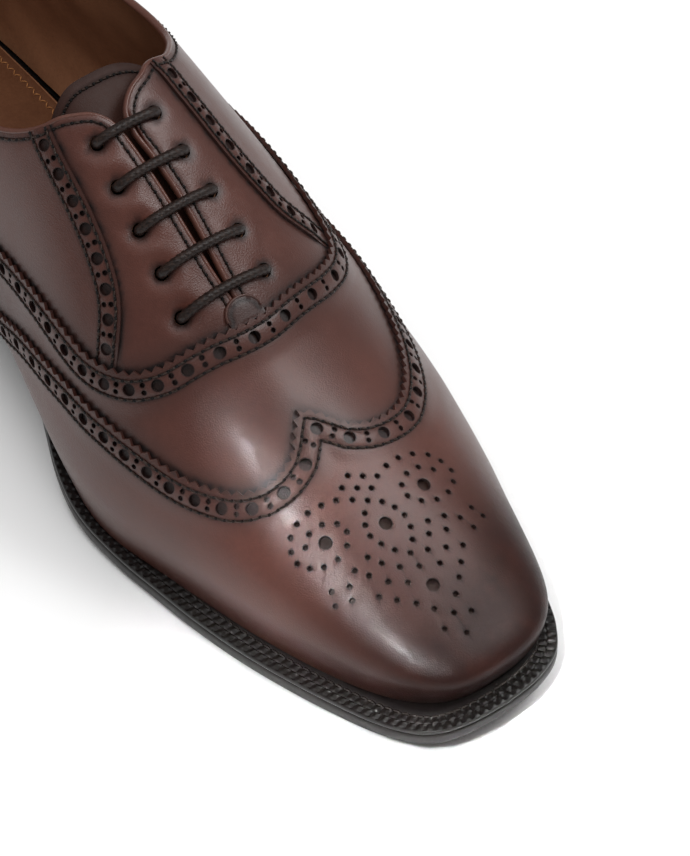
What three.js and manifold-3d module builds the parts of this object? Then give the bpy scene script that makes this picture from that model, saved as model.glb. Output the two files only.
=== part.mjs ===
// Left-foot full-brogue oxford shoe with a closed lacing, a stitched-on leather sole and a stacked heel.
// Millimetres, +Z up, +X towards the toe, +Y towards the outer side of the foot.
import * as THREE from 'three';
import Module from 'manifold-3d';

const wasm = await Module();
wasm.setup();
const { Manifold, Mesh: ManifoldMesh } = wasm;

// ---------------------------------------------------------------- driving dimensions
const LAST_SCALE = 1.0256;     // size of this last against the table unit
const ORIGIN = [156.1, 5.2];   // plan centre of the sole, in table units
const LEATHER = 1.2;           // upper leather thickness
const LINING = 0.9;            // lining leather thickness
const GAP = 0.3;               // clearance between pieces that touch on the real shoe
const LAP = 8.6;               // width of a lapped, brogued border
const LAP_GAP = 0.45;      // clearance below a lapped border
const RAISE = 1.6;             // height of a lapped border above the leather below it
const OUTSOLE = 3.9;           // outsole thickness
const WELT = 2.0;              // welt thickness
const INSOLE = 2.4;            // insole thickness
const TOP_PIECE = 6.0;         // rubber heel top piece thickness
const EYELET_R = 2.15;         // punched lace hole radius
const LACE_R = 1.3;            // waxed lace radius
const TOL = 0.46;              // chord deviation of the facets

const mm = (v) => v / LAST_SCALE;

// ---------------------------------------------------------------- smooth tables along the shoe
function hermite(xs, ys) {
  const n = xs.length, h = [], d = [], m = new Array(n);
  for (let i = 0; i < n - 1; i++) { h.push(xs[i + 1] - xs[i]); d.push((ys[i + 1] - ys[i]) / h[i]); }
  m[0] = d[0]; m[n - 1] = d[n - 2];
  for (let i = 1; i < n - 1; i++) m[i] = (h[i] * d[i - 1] + h[i - 1] * d[i]) / (h[i] + h[i - 1]);
  return (x) => {
    x = Math.min(Math.max(x, xs[0]), xs[n - 1]);
    let i = 0; while (i < n - 2 && x >= xs[i + 1]) i++;
    const t = (x - xs[i]) / h[i];
    return ys[i] * (1 + 2 * t) * (1 - t) ** 2 + m[i] * h[i] * t * (1 - t) ** 2 + ys[i + 1] * t * t * (3 - 2 * t) + m[i + 1] * h[i] * t * t * (t - 1);
  };
}
const zbot = hermite([8, 46, 78, 98, 113, 132, 151, 170, 190, 210, 225, 245, 265, 285, 304], [24.5, 23.5, 22.3, 20.5, 18, 13.2, 8.4, 4.4, 1.5, 0.2, 0, 0.8, 2.6, 5.3, 8.8]); // underside of the outsole above the ground
const TL = hermite([8, 33, 54, 77, 100, 122, 145, 160, 175, 190, 205, 220, 232, 247, 262, 275, 285, 293, 300], [33.5, 34.3, 34.6, 35.6, 38.4, 42.2, 46.9, 49.4, 51.4, 52.2, 51.2, 48.7, 45.6, 41.3, 37.2, 35.2, 34.9, 35.4, 35.6]); // half width, outer side
const TM = hermite([8, 33, 54, 77, 100, 122, 145, 160, 175, 190, 200, 212, 226, 240, 254, 268, 281, 300], [33, 33.3, 33.3, 33.2, 32.8, 33.4, 36, 39.4, 42.6, 44.2, 43.6, 41.4, 38.6, 36, 33.4, 31.2, 29.8, 28.6]); // half width, inner side
const YC = hermite([0, 60, 120, 180, 240, 300], [0, 0, 0, 0, 0, -0.5]); // centre line
const zbul = hermite([0, 46, 95, 130, 160, 190, 215, 240, 265, 285, 304], [20, 20, 19, 17.5, 15.5, 13, 11.5, 10, 9, 8, 7]); // height of the widest line above the welt
const Zc = hermite([0, 46, 80, 100, 120, 140, 156, 166, 176, 186, 196, 210, 224, 240, 257, 275, 290, 304], [150, 148, 138, 128, 117, 106, 96.5, 90, 83, 76, 68.8, 59, 51, 44.4, 39.7, 36, 33.5, 31.5]); // crest height
const YR = hermite([8, 60, 120, 160, 200, 240, 280, 304], [0, 0, -1, -2, -2.2, -2, -1.6, -1.2]); // crest offset
const KK = hermite([8, 54, 95, 120, 135, 150, 175, 190, 200, 225, 245, 265, 304], [2.7, 2.8, 2.8, 2.7, 2.6, 2.55, 2.4, 2.2, 2, 1.9, 2, 2.15, 2.3]); // roundness across
const MM = hermite([8, 54, 95, 120, 150, 175, 200, 225, 245, 265, 304], [1.5, 1.5, 1.5, 1.45, 1.4, 1.4, 1.5, 1.7, 1.9, 2, 2.1]); // roundness upward
const DF = hermite([8, 54, 80, 110, 130, 150, 170, 190, 220, 250, 304], [0.1, 0.1, 0.13, 0.24, 0.27, 0.22, 0.09, 0.03, 0.03, 0.03, 0.03]); // tuck-in at the welt
const ZS = hermite([8, 54, 95, 140, 180, 210, 232, 304], [58, 58, 54, 44, 33, 26, 23, 23]); // height of the chart axis
const XQ = 54, XP = 232, XT = 299, XH = 11.5, NT = 2.75, NH = 2.3, TS = 6.0;
const SOLE = [[8, 0], [9.2, 9], [13, 18], [20, 26], [32, 32.3], [47, 35], [65, 36], [83, 36.8], [98, 38.2], [112, 40.4], [126, 43.6], [141, 47.2], [156, 51.4], [170, 54.4], [185, 55.9], [200, 55.5], [215, 53.4], [230, 49.9], [247.5, 44.2], [268.9, 35.8], [283, 29], [292.7, 23.8], [299.6, 17.8], [303, 10], [304.2, 0.5], [304, -6.5], [303, -13.6], [300.8, -19.6], [297.2, -24], [292, -27.2], [287, -29.3], [274.3, -33.1], [260.6, -36.6], [246, -39.7], [232, -41.9], [215.6, -43.8], [207.5, -44.8], [199, -45.4], [190.7, -45.5], [184, -44.8], [176.5, -42.9], [169.5, -40.3], [162, -36.8], [152, -32.4], [140, -28.9], [127, -27.6], [112, -28], [98, -29.6], [83, -31.4], [65, -33.9], [47, -34], [32, -31.2], [20, -25], [13, -17.4], [9.2, -9]];
const SOLE_STACK = mm(OUTSOLE + WELT + GAP);
const zf = (x) => zbot(x) + TS;
const clamp = (v, a, b) => Math.min(Math.max(v, a), b);

// upper surface as a level set: negative inside the last
function F(x, y, z) {
  const xx = clamp(x, -5, 309);
  const zb = zf(xx) + zbul(xx), H = Math.max(Zc(xx) - zb, 1), h = clamp((z - zb) / H, 0, 1.2);
  const yc = YC(xx), yy = y - yc - (YR(xx) - yc) * h, T = yy > 0 ? TL(xx) : TM(xx);
  const e = Math.max(0, (xx - XP) / (XT - XP), (XQ - xx) / (XQ - XH)), n = xx > XP ? NT : NH;
  const w = Math.pow(Math.pow(Math.abs(yy / T), n) + Math.pow(e, n), 1 / n);
  if (z >= zb) return Math.pow(w, KK(xx)) + Math.pow(h, MM(xx)) - 1;
  const t = clamp((zb - z) / zbul(xx), 0, 1.6);
  return (w - (1 - DF(xx) * Math.pow(t, 1.8))) * 2;
}
const FAN = 40;
function ray(p, q) {
  const x0 = clamp(p, XQ, XP), al = p > XP ? (p - XP) / FAN : p < XQ ? (p - XQ) / FAN : 0;
  const a = Math.sqrt(al * al + q * q) + 1e-12, s = Math.sin(a) / a;
  return [x0, YC(x0), ZS(x0), s * al, s * q, Math.cos(a)];
}
const cache = new Map();
// surface point and outward normal at chart position (p, q)
function surf(p, q) {
  const key = p.toFixed(5) + ',' + q.toFixed(6);
  let r = cache.get(key); if (r) return r;
  const c = ray(p, q); let lo = 0, hi = 160;
  for (let i = 0; i < 40; i++) { const m = (lo + hi) / 2; if (F(c[0] + c[3] * m, c[1] + c[4] * m, c[2] + c[5] * m) < 0) lo = m; else hi = m; }
  const P = new THREE.Vector3(c[0] + c[3] * lo, c[1] + c[4] * lo, c[2] + c[5] * lo), e = 0.05;
  const N = new THREE.Vector3(
    F(P.x + e, P.y, P.z) - F(P.x - e, P.y, P.z), F(P.x, P.y + e, P.z) - F(P.x, P.y - e, P.z), F(P.x, P.y, P.z + e) - F(P.x, P.y, P.z - e)).normalize();
  r = { P, N }; cache.set(key, r); return r;
}
const at = (p, q, d) => { const s = surf(p, q); return s.P.clone().addScaledVector(s.N, d); };

// ---------------------------------------------------------------- seam and edge lines in the chart
const TOPLINE = [[143.5, -0.3358], [138, -0.4372], [132, -0.5097], [124, -0.5811], [114, -0.6546], [102, -0.7356], [90, -0.7951], [78, -0.8287], [66, -0.8312], [56, -0.8114], [45.87, -0.7581], [38.5, -0.6713], [32.19, -0.5452], [27.26, -0.3859], [24.11, -0.2002], [23.14, 0], [24.02, 0.2008], [27.02, 0.3894], [31.74, 0.5565], [37.92, 0.6961], [45.45, 0.7975], [56, 0.866], [66, 0.8959], [78, 0.9046], [90, 0.8881], [102, 0.8426], [114, 0.7652], [124, 0.6777], [132, 0.5875], [138, 0.4874], [143.1, 0.3676]];
const COUNTER = [[78.5, -2.52], [74, -2.1744], [69, -1.9939], [63, -1.8089], [56, -1.628], [39.48, -1.3545], [28.37, -1.11], [19.57, -0.8608], [12.49, -0.5991], [8.1, -0.3075], [6.62, 0], [8.09, 0.3075], [12.44, 0.5999], [19.5, 0.8625], [28.33, 1.1115], [39.48, 1.3549], [56, 1.6258], [63, 1.7985], [69, 1.9742], [74, 2.1455], [78.5, 2.46]];
const TOE_UNDER = [[100, 2.3883], [115, 2.3943], [130, 2.3855], [150, 2.2961], [170, 2.1372], [190, 2.0504], [210, 2.0098], [225, 2.0012], [232, 1.9994], [248.68, 1.9621], [264.46, 1.8224], [278.25, 1.5915], [289.06, 1.2845], [296.27, 0.9277], [300.28, 0.5547], [302.49, 0.1852], [302.5, -0.1853], [300.79, -0.5588], [297.25, -0.9418], [290.24, -1.311], [279.46, -1.633], [265.49, -1.8803], [249.28, -2.0327], [232, -2.0782], [225, -2.0828], [210, -2.0871], [190, -2.1216], [170, -2.2308], [150, -2.4231], [130, -2.5095], [115, -2.4991], [100, -2.4663]];
const HEEL_UNDER = [[100, -2.4663], [85, -2.4214], [70, -2.4029], [58, -2.4013], [54, -2.4009], [29.33, -2.3016], [7, -2.0352], [-11.4, -1.6349], [-24.97, -1.1398], [-33.45, -0.5858], [-36.5, 0], [-33.42, 0.5856], [-24.84, 1.1379], [-11.15, 1.6287], [7.27, 2.0235], [29.5, 2.2856], [54, 2.3818], [58, 2.3805], [70, 2.3754], [85, 2.3733], [100, 2.3883]];
const WING = [[106, -2.56], [111, -2.36], [118, -2.16], [126, -1.98], [134, -1.83], [142, -1.7], [148.5, -1.59], [152, -1.525], [158.6, -1.435], [165.4, -1.368], [171.7, -1.315], [177.4, -1.278], [182.9, -1.255], [188, -1.238], [193.1, -1.218], [197.5, -1.208], [201.6, -1.197], [205.6, -1.188], [209.6, -1.178], [213.5, -1.163], [217.1, -1.14], [220.5, -1.108], [223.8, -1.069], [227, -1.02], [229.6, -0.96], [231.7, -0.88], [233.4, -0.78], [234, -0.662], [233.2, -0.548], [231.4, -0.432], [228.9, -0.318], [226.6, -0.221], [224.3, -0.117], [226.5, 0], [228.7, 0.09], [230.9, 0.179], [233.6, 0.292], [235.6, 0.433], [236, 0.56], [235.2, 0.71], [232.6, 0.852], [228.6, 0.985], [223.9, 1.082], [218.8, 1.15], [212.9, 1.21], [205.6, 1.262], [198.9, 1.297], [190, 1.325], [183, 1.345], [177, 1.365], [171.7, 1.388], [165.4, 1.42], [158.6, 1.468], [152, 1.54], [148.5, 1.59], [142, 1.69], [134, 1.81], [126, 1.95], [118, 2.11], [111, 2.29], [106, 2.48]];
const VAMP = [[84, -2.56], [88, -2.34], [94, -2.08], [101, -1.84], [110, -1.6], [120, -1.38], [130, -1.225], [140, -1.125], [150, -1.055], [156, -1.025], [162.2, -1.004], [168.1, -0.994], [174.8, -0.99], [180.8, -0.982], [185.1, -0.955], [188.9, -0.912], [192.7, -0.847], [195.6, -0.759], [197.6, -0.667], [198.8, -0.566], [199.6, -0.485], [200.4, -0.404], [201.1, -0.321], [201.9, -0.233], [202.5, -0.14], [202.8, -0.03], [202.6, 0.08], [202, 0.17], [201.2, 0.26], [200.4, 0.35], [199.6, 0.44], [198.7, 0.53], [197.6, 0.63], [196, 0.73], [193.6, 0.84], [190.2, 0.922], [186, 0.965], [181, 0.985], [174.8, 0.99], [168.1, 0.992], [162.2, 0.998], [156, 1.015], [150, 1.04], [140, 1.1], [130, 1.195], [120, 1.345], [110, 1.56], [101, 1.8], [94, 2.03], [88, 2.27], [84, 2.48]];
const STRIP_M = [[143.5, -0.3035], [146.7, -0.316], [152.4, -0.34], [158, -0.361], [162.8, -0.381], [167.3, -0.408], [171.9, -0.442], [175.4, -0.478], [179.7, -0.536], [183.4, -0.62], [186, -0.72], [188, -0.83], [189.4, -0.93], [190.6, -1.03], [191.6, -1.12]];
const STRIP_L = [[143.1, 0.223], [147.2, 0.238], [153.5, 0.266], [159.2, 0.298], [165.3, 0.335], [171.8, 0.39], [177.7, 0.46], [183.6, 0.56], [187.4, 0.7], [189.6, 0.83], [190.8, 0.93], [191.8, 1.03], [192.6, 1.12]];
const EDGE_M = [[146, -0.257], [148.1, -0.2], [150.6, -0.133], [153, -0.095], [155.4, -0.076], [159.5, -0.066], [168.2, -0.058], [175.5, -0.056], [183.3, -0.06], [190, -0.062], [196, -0.056], [201, -0.05], [209, -0.045]];
const EDGE_L = [[146, 0.207], [147.6, 0.165], [149.5, 0.09], [151.6, 0.035], [154.3, -0.006], [158.1, -0.018], [164.3, -0.004], [174.1, 0.012], [184.6, 0.004], [192, -0.008], [198, -0.018], [203, -0.024], [209, -0.03]];
const EYE_M = [[155.9, -0.192], [165.7, -0.2305], [175.3, -0.268], [184.9, -0.311], [194.2, -0.379]];
const EYE_L = [[156.6, 0.116], [166.3, 0.146], [175.9, 0.182], [185.5, 0.222], [194.9, 0.262]];

// chart point nearest to a 3-D displacement from (p, q): one Newton step on the surface
function shift(p, q, v) {
  const e = 0.05, eq = 0.002, A = surf(p, q).P;
  const U = surf(p + e, q).P.clone().sub(A).divideScalar(e), V = surf(p, q + eq).P.clone().sub(A).divideScalar(eq);
  const uu = U.dot(U), uv = U.dot(V), vv = V.dot(V), a = U.dot(v), b = V.dot(v), D = uu * vv - uv * uv;
  return [p + (a * vv - b * uv) / D, q + (b * uu - a * uv) / D];
}
// offset of an open line along the surface; positive is to the right of its direction seen from outside
function offset(line, d) {
  const out = [];
  for (let i = 0; i < line.length; i++) {
    const a = surf(...line[Math.max(i - 1, 0)]).P, b = surf(...line[Math.min(i + 1, line.length - 1)]).P;
    const s = surf(...line[i]), t = b.clone().sub(a).normalize(), r = t.clone().cross(s.N).normalize();
    let c = line[i], n = 3;
    for (let k = 0; k < n; k++) c = shift(c[0], c[1], r.clone().multiplyScalar(d / n));
    out.push(c);
  }
  return unloop(out);
}
function segHit(a, b, c, d) {
  const rx = b[0] - a[0], ry = (b[1] - a[1]) * FAN, sx = d[0] - c[0], sy = (d[1] - c[1]) * FAN, k = rx * sy - ry * sx;
  if (Math.abs(k) < 1e-12) return null;
  const qx = c[0] - a[0], qy = (c[1] - a[1]) * FAN, t = (qx * sy - qy * sx) / k, u = (qx * ry - qy * rx) / k;
  return t > 0 && t < 1 && u > 0 && u < 1 ? [a[0] + rx * t, a[1] + (b[1] - a[1]) * t] : null;
}
function unloop(l) {
  for (let i = 0; i < l.length - 3; i++)
    for (let j = l.length - 2; j > i + 1; j--) {
      const x = segHit(l[i], l[i + 1], l[j], l[j + 1]);
      if (x) return unloop([...l.slice(0, i + 1), x, ...l.slice(j + 1)]);
    }
  return l;
}
// trims a to the part before (or after) its crossing with b; returns [kept part of a, crossing, index on b]
function cross(a, b) {
  for (let i = 0; i < a.length - 1; i++)
    for (let j = 0; j < b.length - 1; j++) { const x = segHit(a[i], a[i + 1], b[j], b[j + 1]); if (x) return { x, i, j }; }
  throw new Error('lines do not cross');
}
const before = (l, c, k) => [...l.slice(0, c[k] + 1), c.x];
const after = (l, c, k) => [c.x, ...l.slice(c[k] + 1)];
const rev = (l) => [...l].reverse();

// ---------------------------------------------------------------- meshing of chart regions
const ekey = (i, j) => (i < j ? i + '_' + j : j + '_' + i);
function meshRegion(outer, holes, place, opts = {}) {
  const tol = opts.tol ?? TOL, lmax = opts.lmax ?? 36, sc = opts.sc ?? FAN;
  const toV = (l) => l.map(([a, b]) => new THREE.Vector2(a, b * sc));
  let o = toV(outer); if (THREE.ShapeUtils.isClockWise(o)) { outer = rev(outer); o = toV(outer); }
  holes = holes.map((h) => (THREE.ShapeUtils.isClockWise(toV(h)) ? h : rev(h)));
  const pts = [...outer, ...holes.flat()].map((p) => [...p]);
  let tris = THREE.ShapeUtils.triangulateShape(o, holes.map(toV)).map((t) => [...t]);
  const pos = pts.map((p) => place(...p));
  const fixed = new Set(pts.map((_, i) => i));
  const area2 = (a, b, c) => (pts[b][0] - pts[a][0]) * (pts[c][1] - pts[a][1]) - (pts[b][1] - pts[a][1]) * (pts[c][0] - pts[a][0]);
  tris = tris.filter((t) => Math.abs(area2(...t)) > 1e-12).map((t) => (area2(...t) < 0 ? [t[0], t[2], t[1]] : t));
  const ang = (a, b, c) => { const u = pos[a].P.clone().sub(pos[b].P), v = pos[c].P.clone().sub(pos[b].P); return u.angleTo(v); };
  const sag = (i, j) => {
    const M = place((pts[i][0] + pts[j][0]) / 2, (pts[i][1] + pts[j][1]) / 2);
    return Math.abs(M.P.clone().sub(pos[i].P.clone().add(pos[j].P).multiplyScalar(0.5)).dot(M.N)) + 0.004 * pos[i].P.distanceTo(pos[j].P);
  };
  const flip = () => {
    for (let pass = 0; pass < 12; pass++) {
      const E = new Map(); let n = 0; const dirty = new Set();
      tris.forEach((t, k) => { for (let i = 0; i < 3; i++) { const key = ekey(t[i], t[(i + 1) % 3]); if (!E.has(key)) E.set(key, []); E.get(key).push([k, i]); } });
      for (const [, f] of E) {
        if (f.length !== 2) continue;
        const [[k1, i1], [k2, i2]] = f; if (dirty.has(k1) || dirty.has(k2)) continue;
        const t1 = tris[k1], t2 = tris[k2], a = t1[i1], b = t1[(i1 + 1) % 3], c = t1[(i1 + 2) % 3], d = t2[(i2 + 2) % 3];
        if (c === d) continue;
        if (area2(c, a, d) <= 1e-9 || area2(d, b, c) <= 1e-9) continue;
        if (sag(c, d) < sag(a, b) * 0.97 - 1e-4) { tris[k1] = [c, a, d]; tris[k2] = [d, b, c]; dirty.add(k1); dirty.add(k2); n++; }
      }
      if (!n) break;
    }
  };
  flip();
  for (let round = 0; round < 9; round++) {
    const mid = new Map(), E = new Map();
    for (const t of tris) for (let i = 0; i < 3; i++) { const key = ekey(t[i], t[(i + 1) % 3]); E.set(key, (E.get(key) ?? 0) + 1); }
    for (const [key, cnt] of E) {
      const [i, j] = key.split('_').map(Number), L = pos[i].P.distanceTo(pos[j].P); if (L < (opts.lmin ?? 3)) continue;
      const m = [(pts[i][0] + pts[j][0]) / 2, (pts[i][1] + pts[j][1]) / 2], M = place(...m);
      const dev = Math.abs(M.P.clone().sub(pos[i].P.clone().add(pos[j].P).multiplyScalar(0.5)).dot(M.N));
      if (dev > tol || L > lmax) { pts.push(m); pos.push(M); mid.set(key, pts.length - 1); if (cnt === 1) fixed.add(pts.length - 1); }
    }
    if (!mid.size) break;
    const out = [];
    for (const t of tris) {
      const [a, b, c] = t, ab = mid.get(ekey(a, b)), bc = mid.get(ekey(b, c)), ca = mid.get(ekey(c, a)), n = [ab, bc, ca].filter((v) => v !== undefined).length;
      if (n === 0) out.push(t);
      else if (n === 3) out.push([a, ab, ca], [ab, b, bc], [ca, bc, c], [ab, bc, ca]);
      else if (n === 1) { if (ab !== undefined) out.push([a, ab, c], [ab, b, c]); else if (bc !== undefined) out.push([b, bc, a], [bc, c, a]); else out.push([c, ca, b], [ca, a, b]); }
      else if (ab === undefined) out.push([c, ca, bc], [ca, a, b], [ca, b, bc]);
      else if (bc === undefined) out.push([a, ab, ca], [ab, b, c], [ab, c, ca]);
      else out.push([b, bc, ab], [bc, c, a], [bc, a, ab]);
    }
    tris = out; flip();
  }
  // even out the free vertices
  for (let it = 0; it < 0; it++) {
    const nb = pts.map(() => new Set()), inc = pts.map(() => []);
    tris.forEach((t, k) => { for (let i = 0; i < 3; i++) { nb[t[i]].add(t[(i + 1) % 3]); nb[t[i]].add(t[(i + 2) % 3]); inc[t[i]].push(k); } });
    for (let i = 0; i < pts.length; i++) {
      if (fixed.has(i) || !nb[i].size) continue;
      const old = pts[i], m = [0, 0]; for (const j of nb[i]) { m[0] += pts[j][0]; m[1] += pts[j][1]; }
      pts[i] = [old[0] * 0.4 + m[0] / nb[i].size * 0.6, old[1] * 0.4 + m[1] / nb[i].size * 0.6];
      if (inc[i].some((k) => area2(...tris[k]) < 1e-6)) pts[i] = old; else pos[i] = place(...pts[i]);
    }
    flip();
  }
  return { pts, tris };
}
// a slab from one or more chart regions that share their borders; hi and lo give its two faces' heights
function slab(regions, place) {
  const V = [], idx = new Map(), tris = [];
  for (const r of regions) {
    const map = r.mesh.pts.map((p) => {
      const key = p[0].toFixed(4) + ',' + p[1].toFixed(5);
      if (!idx.has(key)) { idx.set(key, V.length); const s = place(...p), [h, l] = r.h(...p); V.push([s.P.clone().addScaledVector(s.N, h), s.P.clone().addScaledVector(s.N, l)]); }
      return idx.get(key);
    });
    for (const t of r.mesh.tris) { const k = t.map((i) => map[i]); if (k[0] !== k[1] && k[1] !== k[2] && k[2] !== k[0]) tris.push(k); }
  }
  const n = V.length, E = new Map(), T = [];
  for (const [a, b, c] of tris) { T.push([a, b, c], [a + n, c + n, b + n]); for (const [i, j] of [[a, b], [b, c], [c, a]]) E.set(i + '_' + j, [i, j]); }
  for (const [, [i, j]] of E) if (!E.has(j + '_' + i)) T.push([i, j + n, j], [i, i + n, j + n]);
  return solid([...V.map((v) => v[0]), ...V.map((v) => v[1])], T);
}
function solid(verts, tris) {
  const vp = new Float32Array(verts.length * 3); verts.forEach((v, i) => v.toArray(vp, i * 3));
  let tv = new Uint32Array(tris.flat()), vol = 0;
  for (const [a, b, c] of tris) vol += verts[a].dot(verts[b].clone().cross(verts[c]));
  if (vol < 0) tv = new Uint32Array(tris.map((t) => [t[0], t[2], t[1]]).flat());
  return new Manifold(new ManifoldMesh({ numProp: 3, vertProperties: vp, triVerts: tv }));
}
function fromGeometry(g) {
  const pos = g.getAttribute('position'), idx = new Map(), verts = [], map = [];
  for (let i = 0; i < pos.count; i++) {
    const v = new THREE.Vector3().fromBufferAttribute(pos, i), key = [v.x, v.y, v.z].map((c) => c.toFixed(4)).join(',');
    if (!idx.has(key)) { idx.set(key, verts.length); verts.push(v); } map.push(idx.get(key));
  }
  const T = [], ix = g.index ? g.index.array : map.map((_, i) => i);
  for (let i = 0; i < ix.length; i += 3) { const t = [map[ix[i]], map[ix[i + 1]], map[ix[i + 2]]]; if (t[0] !== t[1] && t[1] !== t[2] && t[2] !== t[0]) T.push(t); }
  return solid(verts, T);
}

// ---------------------------------------------------------------- material looks
const MAT = {
  calf: { color: 0x55362f, roughness: 0.36 }, tan: { color: 0x8a5a3c, roughness: 0.62 }, edge: { color: 0x2c2523, roughness: 0.45 },
  cork: { color: 0x9b7653, roughness: 0.95 }, steel: { color: 0xa9abad, roughness: 0.35, metalness: 1 }, rubber: { color: 0x1b1a1a, roughness: 0.75 },
  brass: { color: 0xb58e4a, roughness: 0.35, metalness: 1 }, lace: { color: 0x3a2722, roughness: 0.6 }, stiff: { color: 0xc9b79a, roughness: 0.9 },
};
const shoe = new THREE.Group();
shoe.name = 'oxford_shoe';
function piece(name, look, m) {
  const g0 = m.getMesh(), g = new THREE.BufferGeometry(), np = g0.numProp, n = g0.vertProperties.length / np, a = new Float32Array(n * 3);
  for (let i = 0; i < n; i++) {
    a[i * 3] = (g0.vertProperties[i * np] - ORIGIN[0]) * LAST_SCALE;
    a[i * 3 + 1] = (g0.vertProperties[i * np + 1] - ORIGIN[1]) * LAST_SCALE;
    a[i * 3 + 2] = g0.vertProperties[i * np + 2] * LAST_SCALE;
  }
  g.setAttribute('position', new THREE.BufferAttribute(a, 3));
  g.setIndex(new THREE.BufferAttribute(new Uint32Array(g0.triVerts), 1));
  g.computeVertexNormals();
  const mesh = new THREE.Mesh(g, new THREE.MeshStandardMaterial({ metalness: 0, ...MAT[look] }));
  mesh.name = name; shoe.add(mesh);
}

// ---------------------------------------------------------------- space above the welt and below it
const welt0 = (x) => zf(x) + mm(GAP);
function halfSpace(zFn, up) {
  const V = [], T = [], xs = []; for (let x = -12; x <= 324; x += 6) xs.push(x);
  for (const x of xs) for (const y of [-90, 90]) for (const z of [zFn(x), up ? 220 : -60]) V.push(new THREE.Vector3(x, y, z));
  const q = (a, b, c, d) => T.push([a, b, c], [a, c, d]);
  for (let i = 0; i < xs.length - 1; i++) { const a = i * 4, b = a + 4; q(a, a + 2, b + 2, b); q(a + 1, b + 1, b + 3, a + 3); q(a, b, b + 1, a + 1); q(a + 2, a + 3, b + 3, b + 2); }
  const e = (xs.length - 1) * 4; q(0, 1, 3, 2); q(e, e + 2, e + 3, e + 1);
  return solid(V, T);
}
const aboveWelt = halfSpace(welt0, true);

// ---------------------------------------------------------------- upper panels
const HG = mm(GAP) / 2, TH = mm(LEATHER), RA = mm(RAISE), G = mm(GAP), LG = mm(LAP_GAP), LAPU = mm(LAP);
const flat = () => [0, -TH];
const region = (outer, h, holes = [], opts) => ({ mesh: meshRegion(outer, holes, surf, opts), h });
// lapped border of an over-piece: raised band, skived ramp, then flush leather
function lapped(line, rest, extra = []) {
  const l1 = offset(line, LAPU * 0.78), l2 = offset(line, LAPU);
  const on = (l) => { const s = new Set(l.map((p) => p[0].toFixed(4) + ',' + p[1].toFixed(5))); return s; };
  const s1 = on(l1), s2 = on(l2);
  const d2 = (l, p, q) => { const A = surf(p, q).P; let m = 1e9; for (const c of l) m = Math.min(m, surf(...c).P.distanceTo(A)); return m; };
  const ramp = (p, q) => {
    const k = p.toFixed(4) + ',' + q.toFixed(5); let t = s1.has(k) ? 1 : s2.has(k) ? 0 : null;
    if (t === null) { const a = segDist(l1, p, q), b = segDist(l2, p, q); t = a < 0.02 ? 1 : b < 0.02 ? 0 : b / (a + b); }
    return [RA * t, -TH + (TH + LG) * t];
  };
  return [region([...line, ...rev(l1)], () => [RA, LG]), region([...l1, ...rev(l2)], ramp), region(rest(l2), flat, extra)];
}
function segDist(l, p, q) {
  const A = surf(p, q).P; let m = 1e9; const L = new THREE.Line3(), c = new THREE.Vector3();
  for (let i = 0; i < l.length - 1; i++) { L.set(surf(...l[i]).P, surf(...l[i + 1]).P); L.closestPointToPoint(A, true, c); m = Math.min(m, c.distanceTo(A)); }
  return m;
}
const under = (line) => offset(line, mm(5.7));
const biggest = (m) => m.decompose().reduce((a, b) => (b.volume() > a.volume() ? b : a));
const trimmed = (regions) => biggest(slab(regions, surf).intersect(aboveWelt));

// wing cap over the toe
const toeUnder = TOE_UNDER, heelUnder = HEEL_UNDER;
const wingRest = (l2) => [...l2, ...toeUnder.filter((c) => c[0] > 124)];
piece('wing_cap', 'calf', trimmed(lapped(WING, wingRest)));

// vamp between the wing cap and the facings
const wingUnder = under(WING);
piece('vamp', 'calf', trimmed(lapped(VAMP, (l2) => [...l2, ...rev(wingUnder)])));

// heel counter cover
const COUNTER_L = rev(COUNTER);
piece('heel_counter_cover', 'calf', trimmed(lapped(COUNTER_L, (l2) => [...l2, ...heelUnder.filter((c) => c[0] < 76)])));

// facings: between the quarter strip, the vamp and the lacing gap
const vampUnder = under(VAMP), counterUnder = rev(under(COUNTER_L));
function circle(c, r, n = 8) {
  const out = []; const s = surf(...c), X = new THREE.Vector3(1, 0, 0).addScaledVector(s.N, -s.N.x).normalize(), Y = s.N.clone().cross(X);
  for (let i = 0; i < n; i++) { const a = (i / n) * 2 * Math.PI; let p = c; const v = X.clone().multiplyScalar(Math.cos(a) * r).addScaledVector(Y, Math.sin(a) * r); p = shift(p[0], p[1], v); out.push(p); }
  return out;
}
const EYES = { m: EYE_M, l: EYE_L };
const eyeHoles = (side) => EYES[side].map((c) => circle(c, mm(EYELET_R)));
function joinAt(a, b) { const c = cross(a, b); return c; }
function facing(side) {
  const strip = side === 'm' ? offset(STRIP_M, -HG) : offset(STRIP_L, HG), edge = side === 'm' ? EDGE_M : EDGE_L;
  const cs = cross(strip, vampUnder), ce = cross(edge, vampUnder);
  let v = vampUnder.slice(Math.min(cs.j, ce.j) + 1, Math.max(cs.j, ce.j) + 1); if (cs.j > ce.j) v = rev(v);
  // strip line from the topline down, along the vamp, then up the lacing edge; the rounded top corner follows the edge line
  return [...before(strip, cs, 'i'), ...v, ...rev(before(edge, ce, 'i'))];
}
for (const side of ['m', 'l']) {
  const m = slab([region(facing(side), flat, eyeHoles(side))], surf);
  piece(side === 'm' ? 'facing_medial' : 'facing_lateral', 'calf', m);
}
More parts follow.
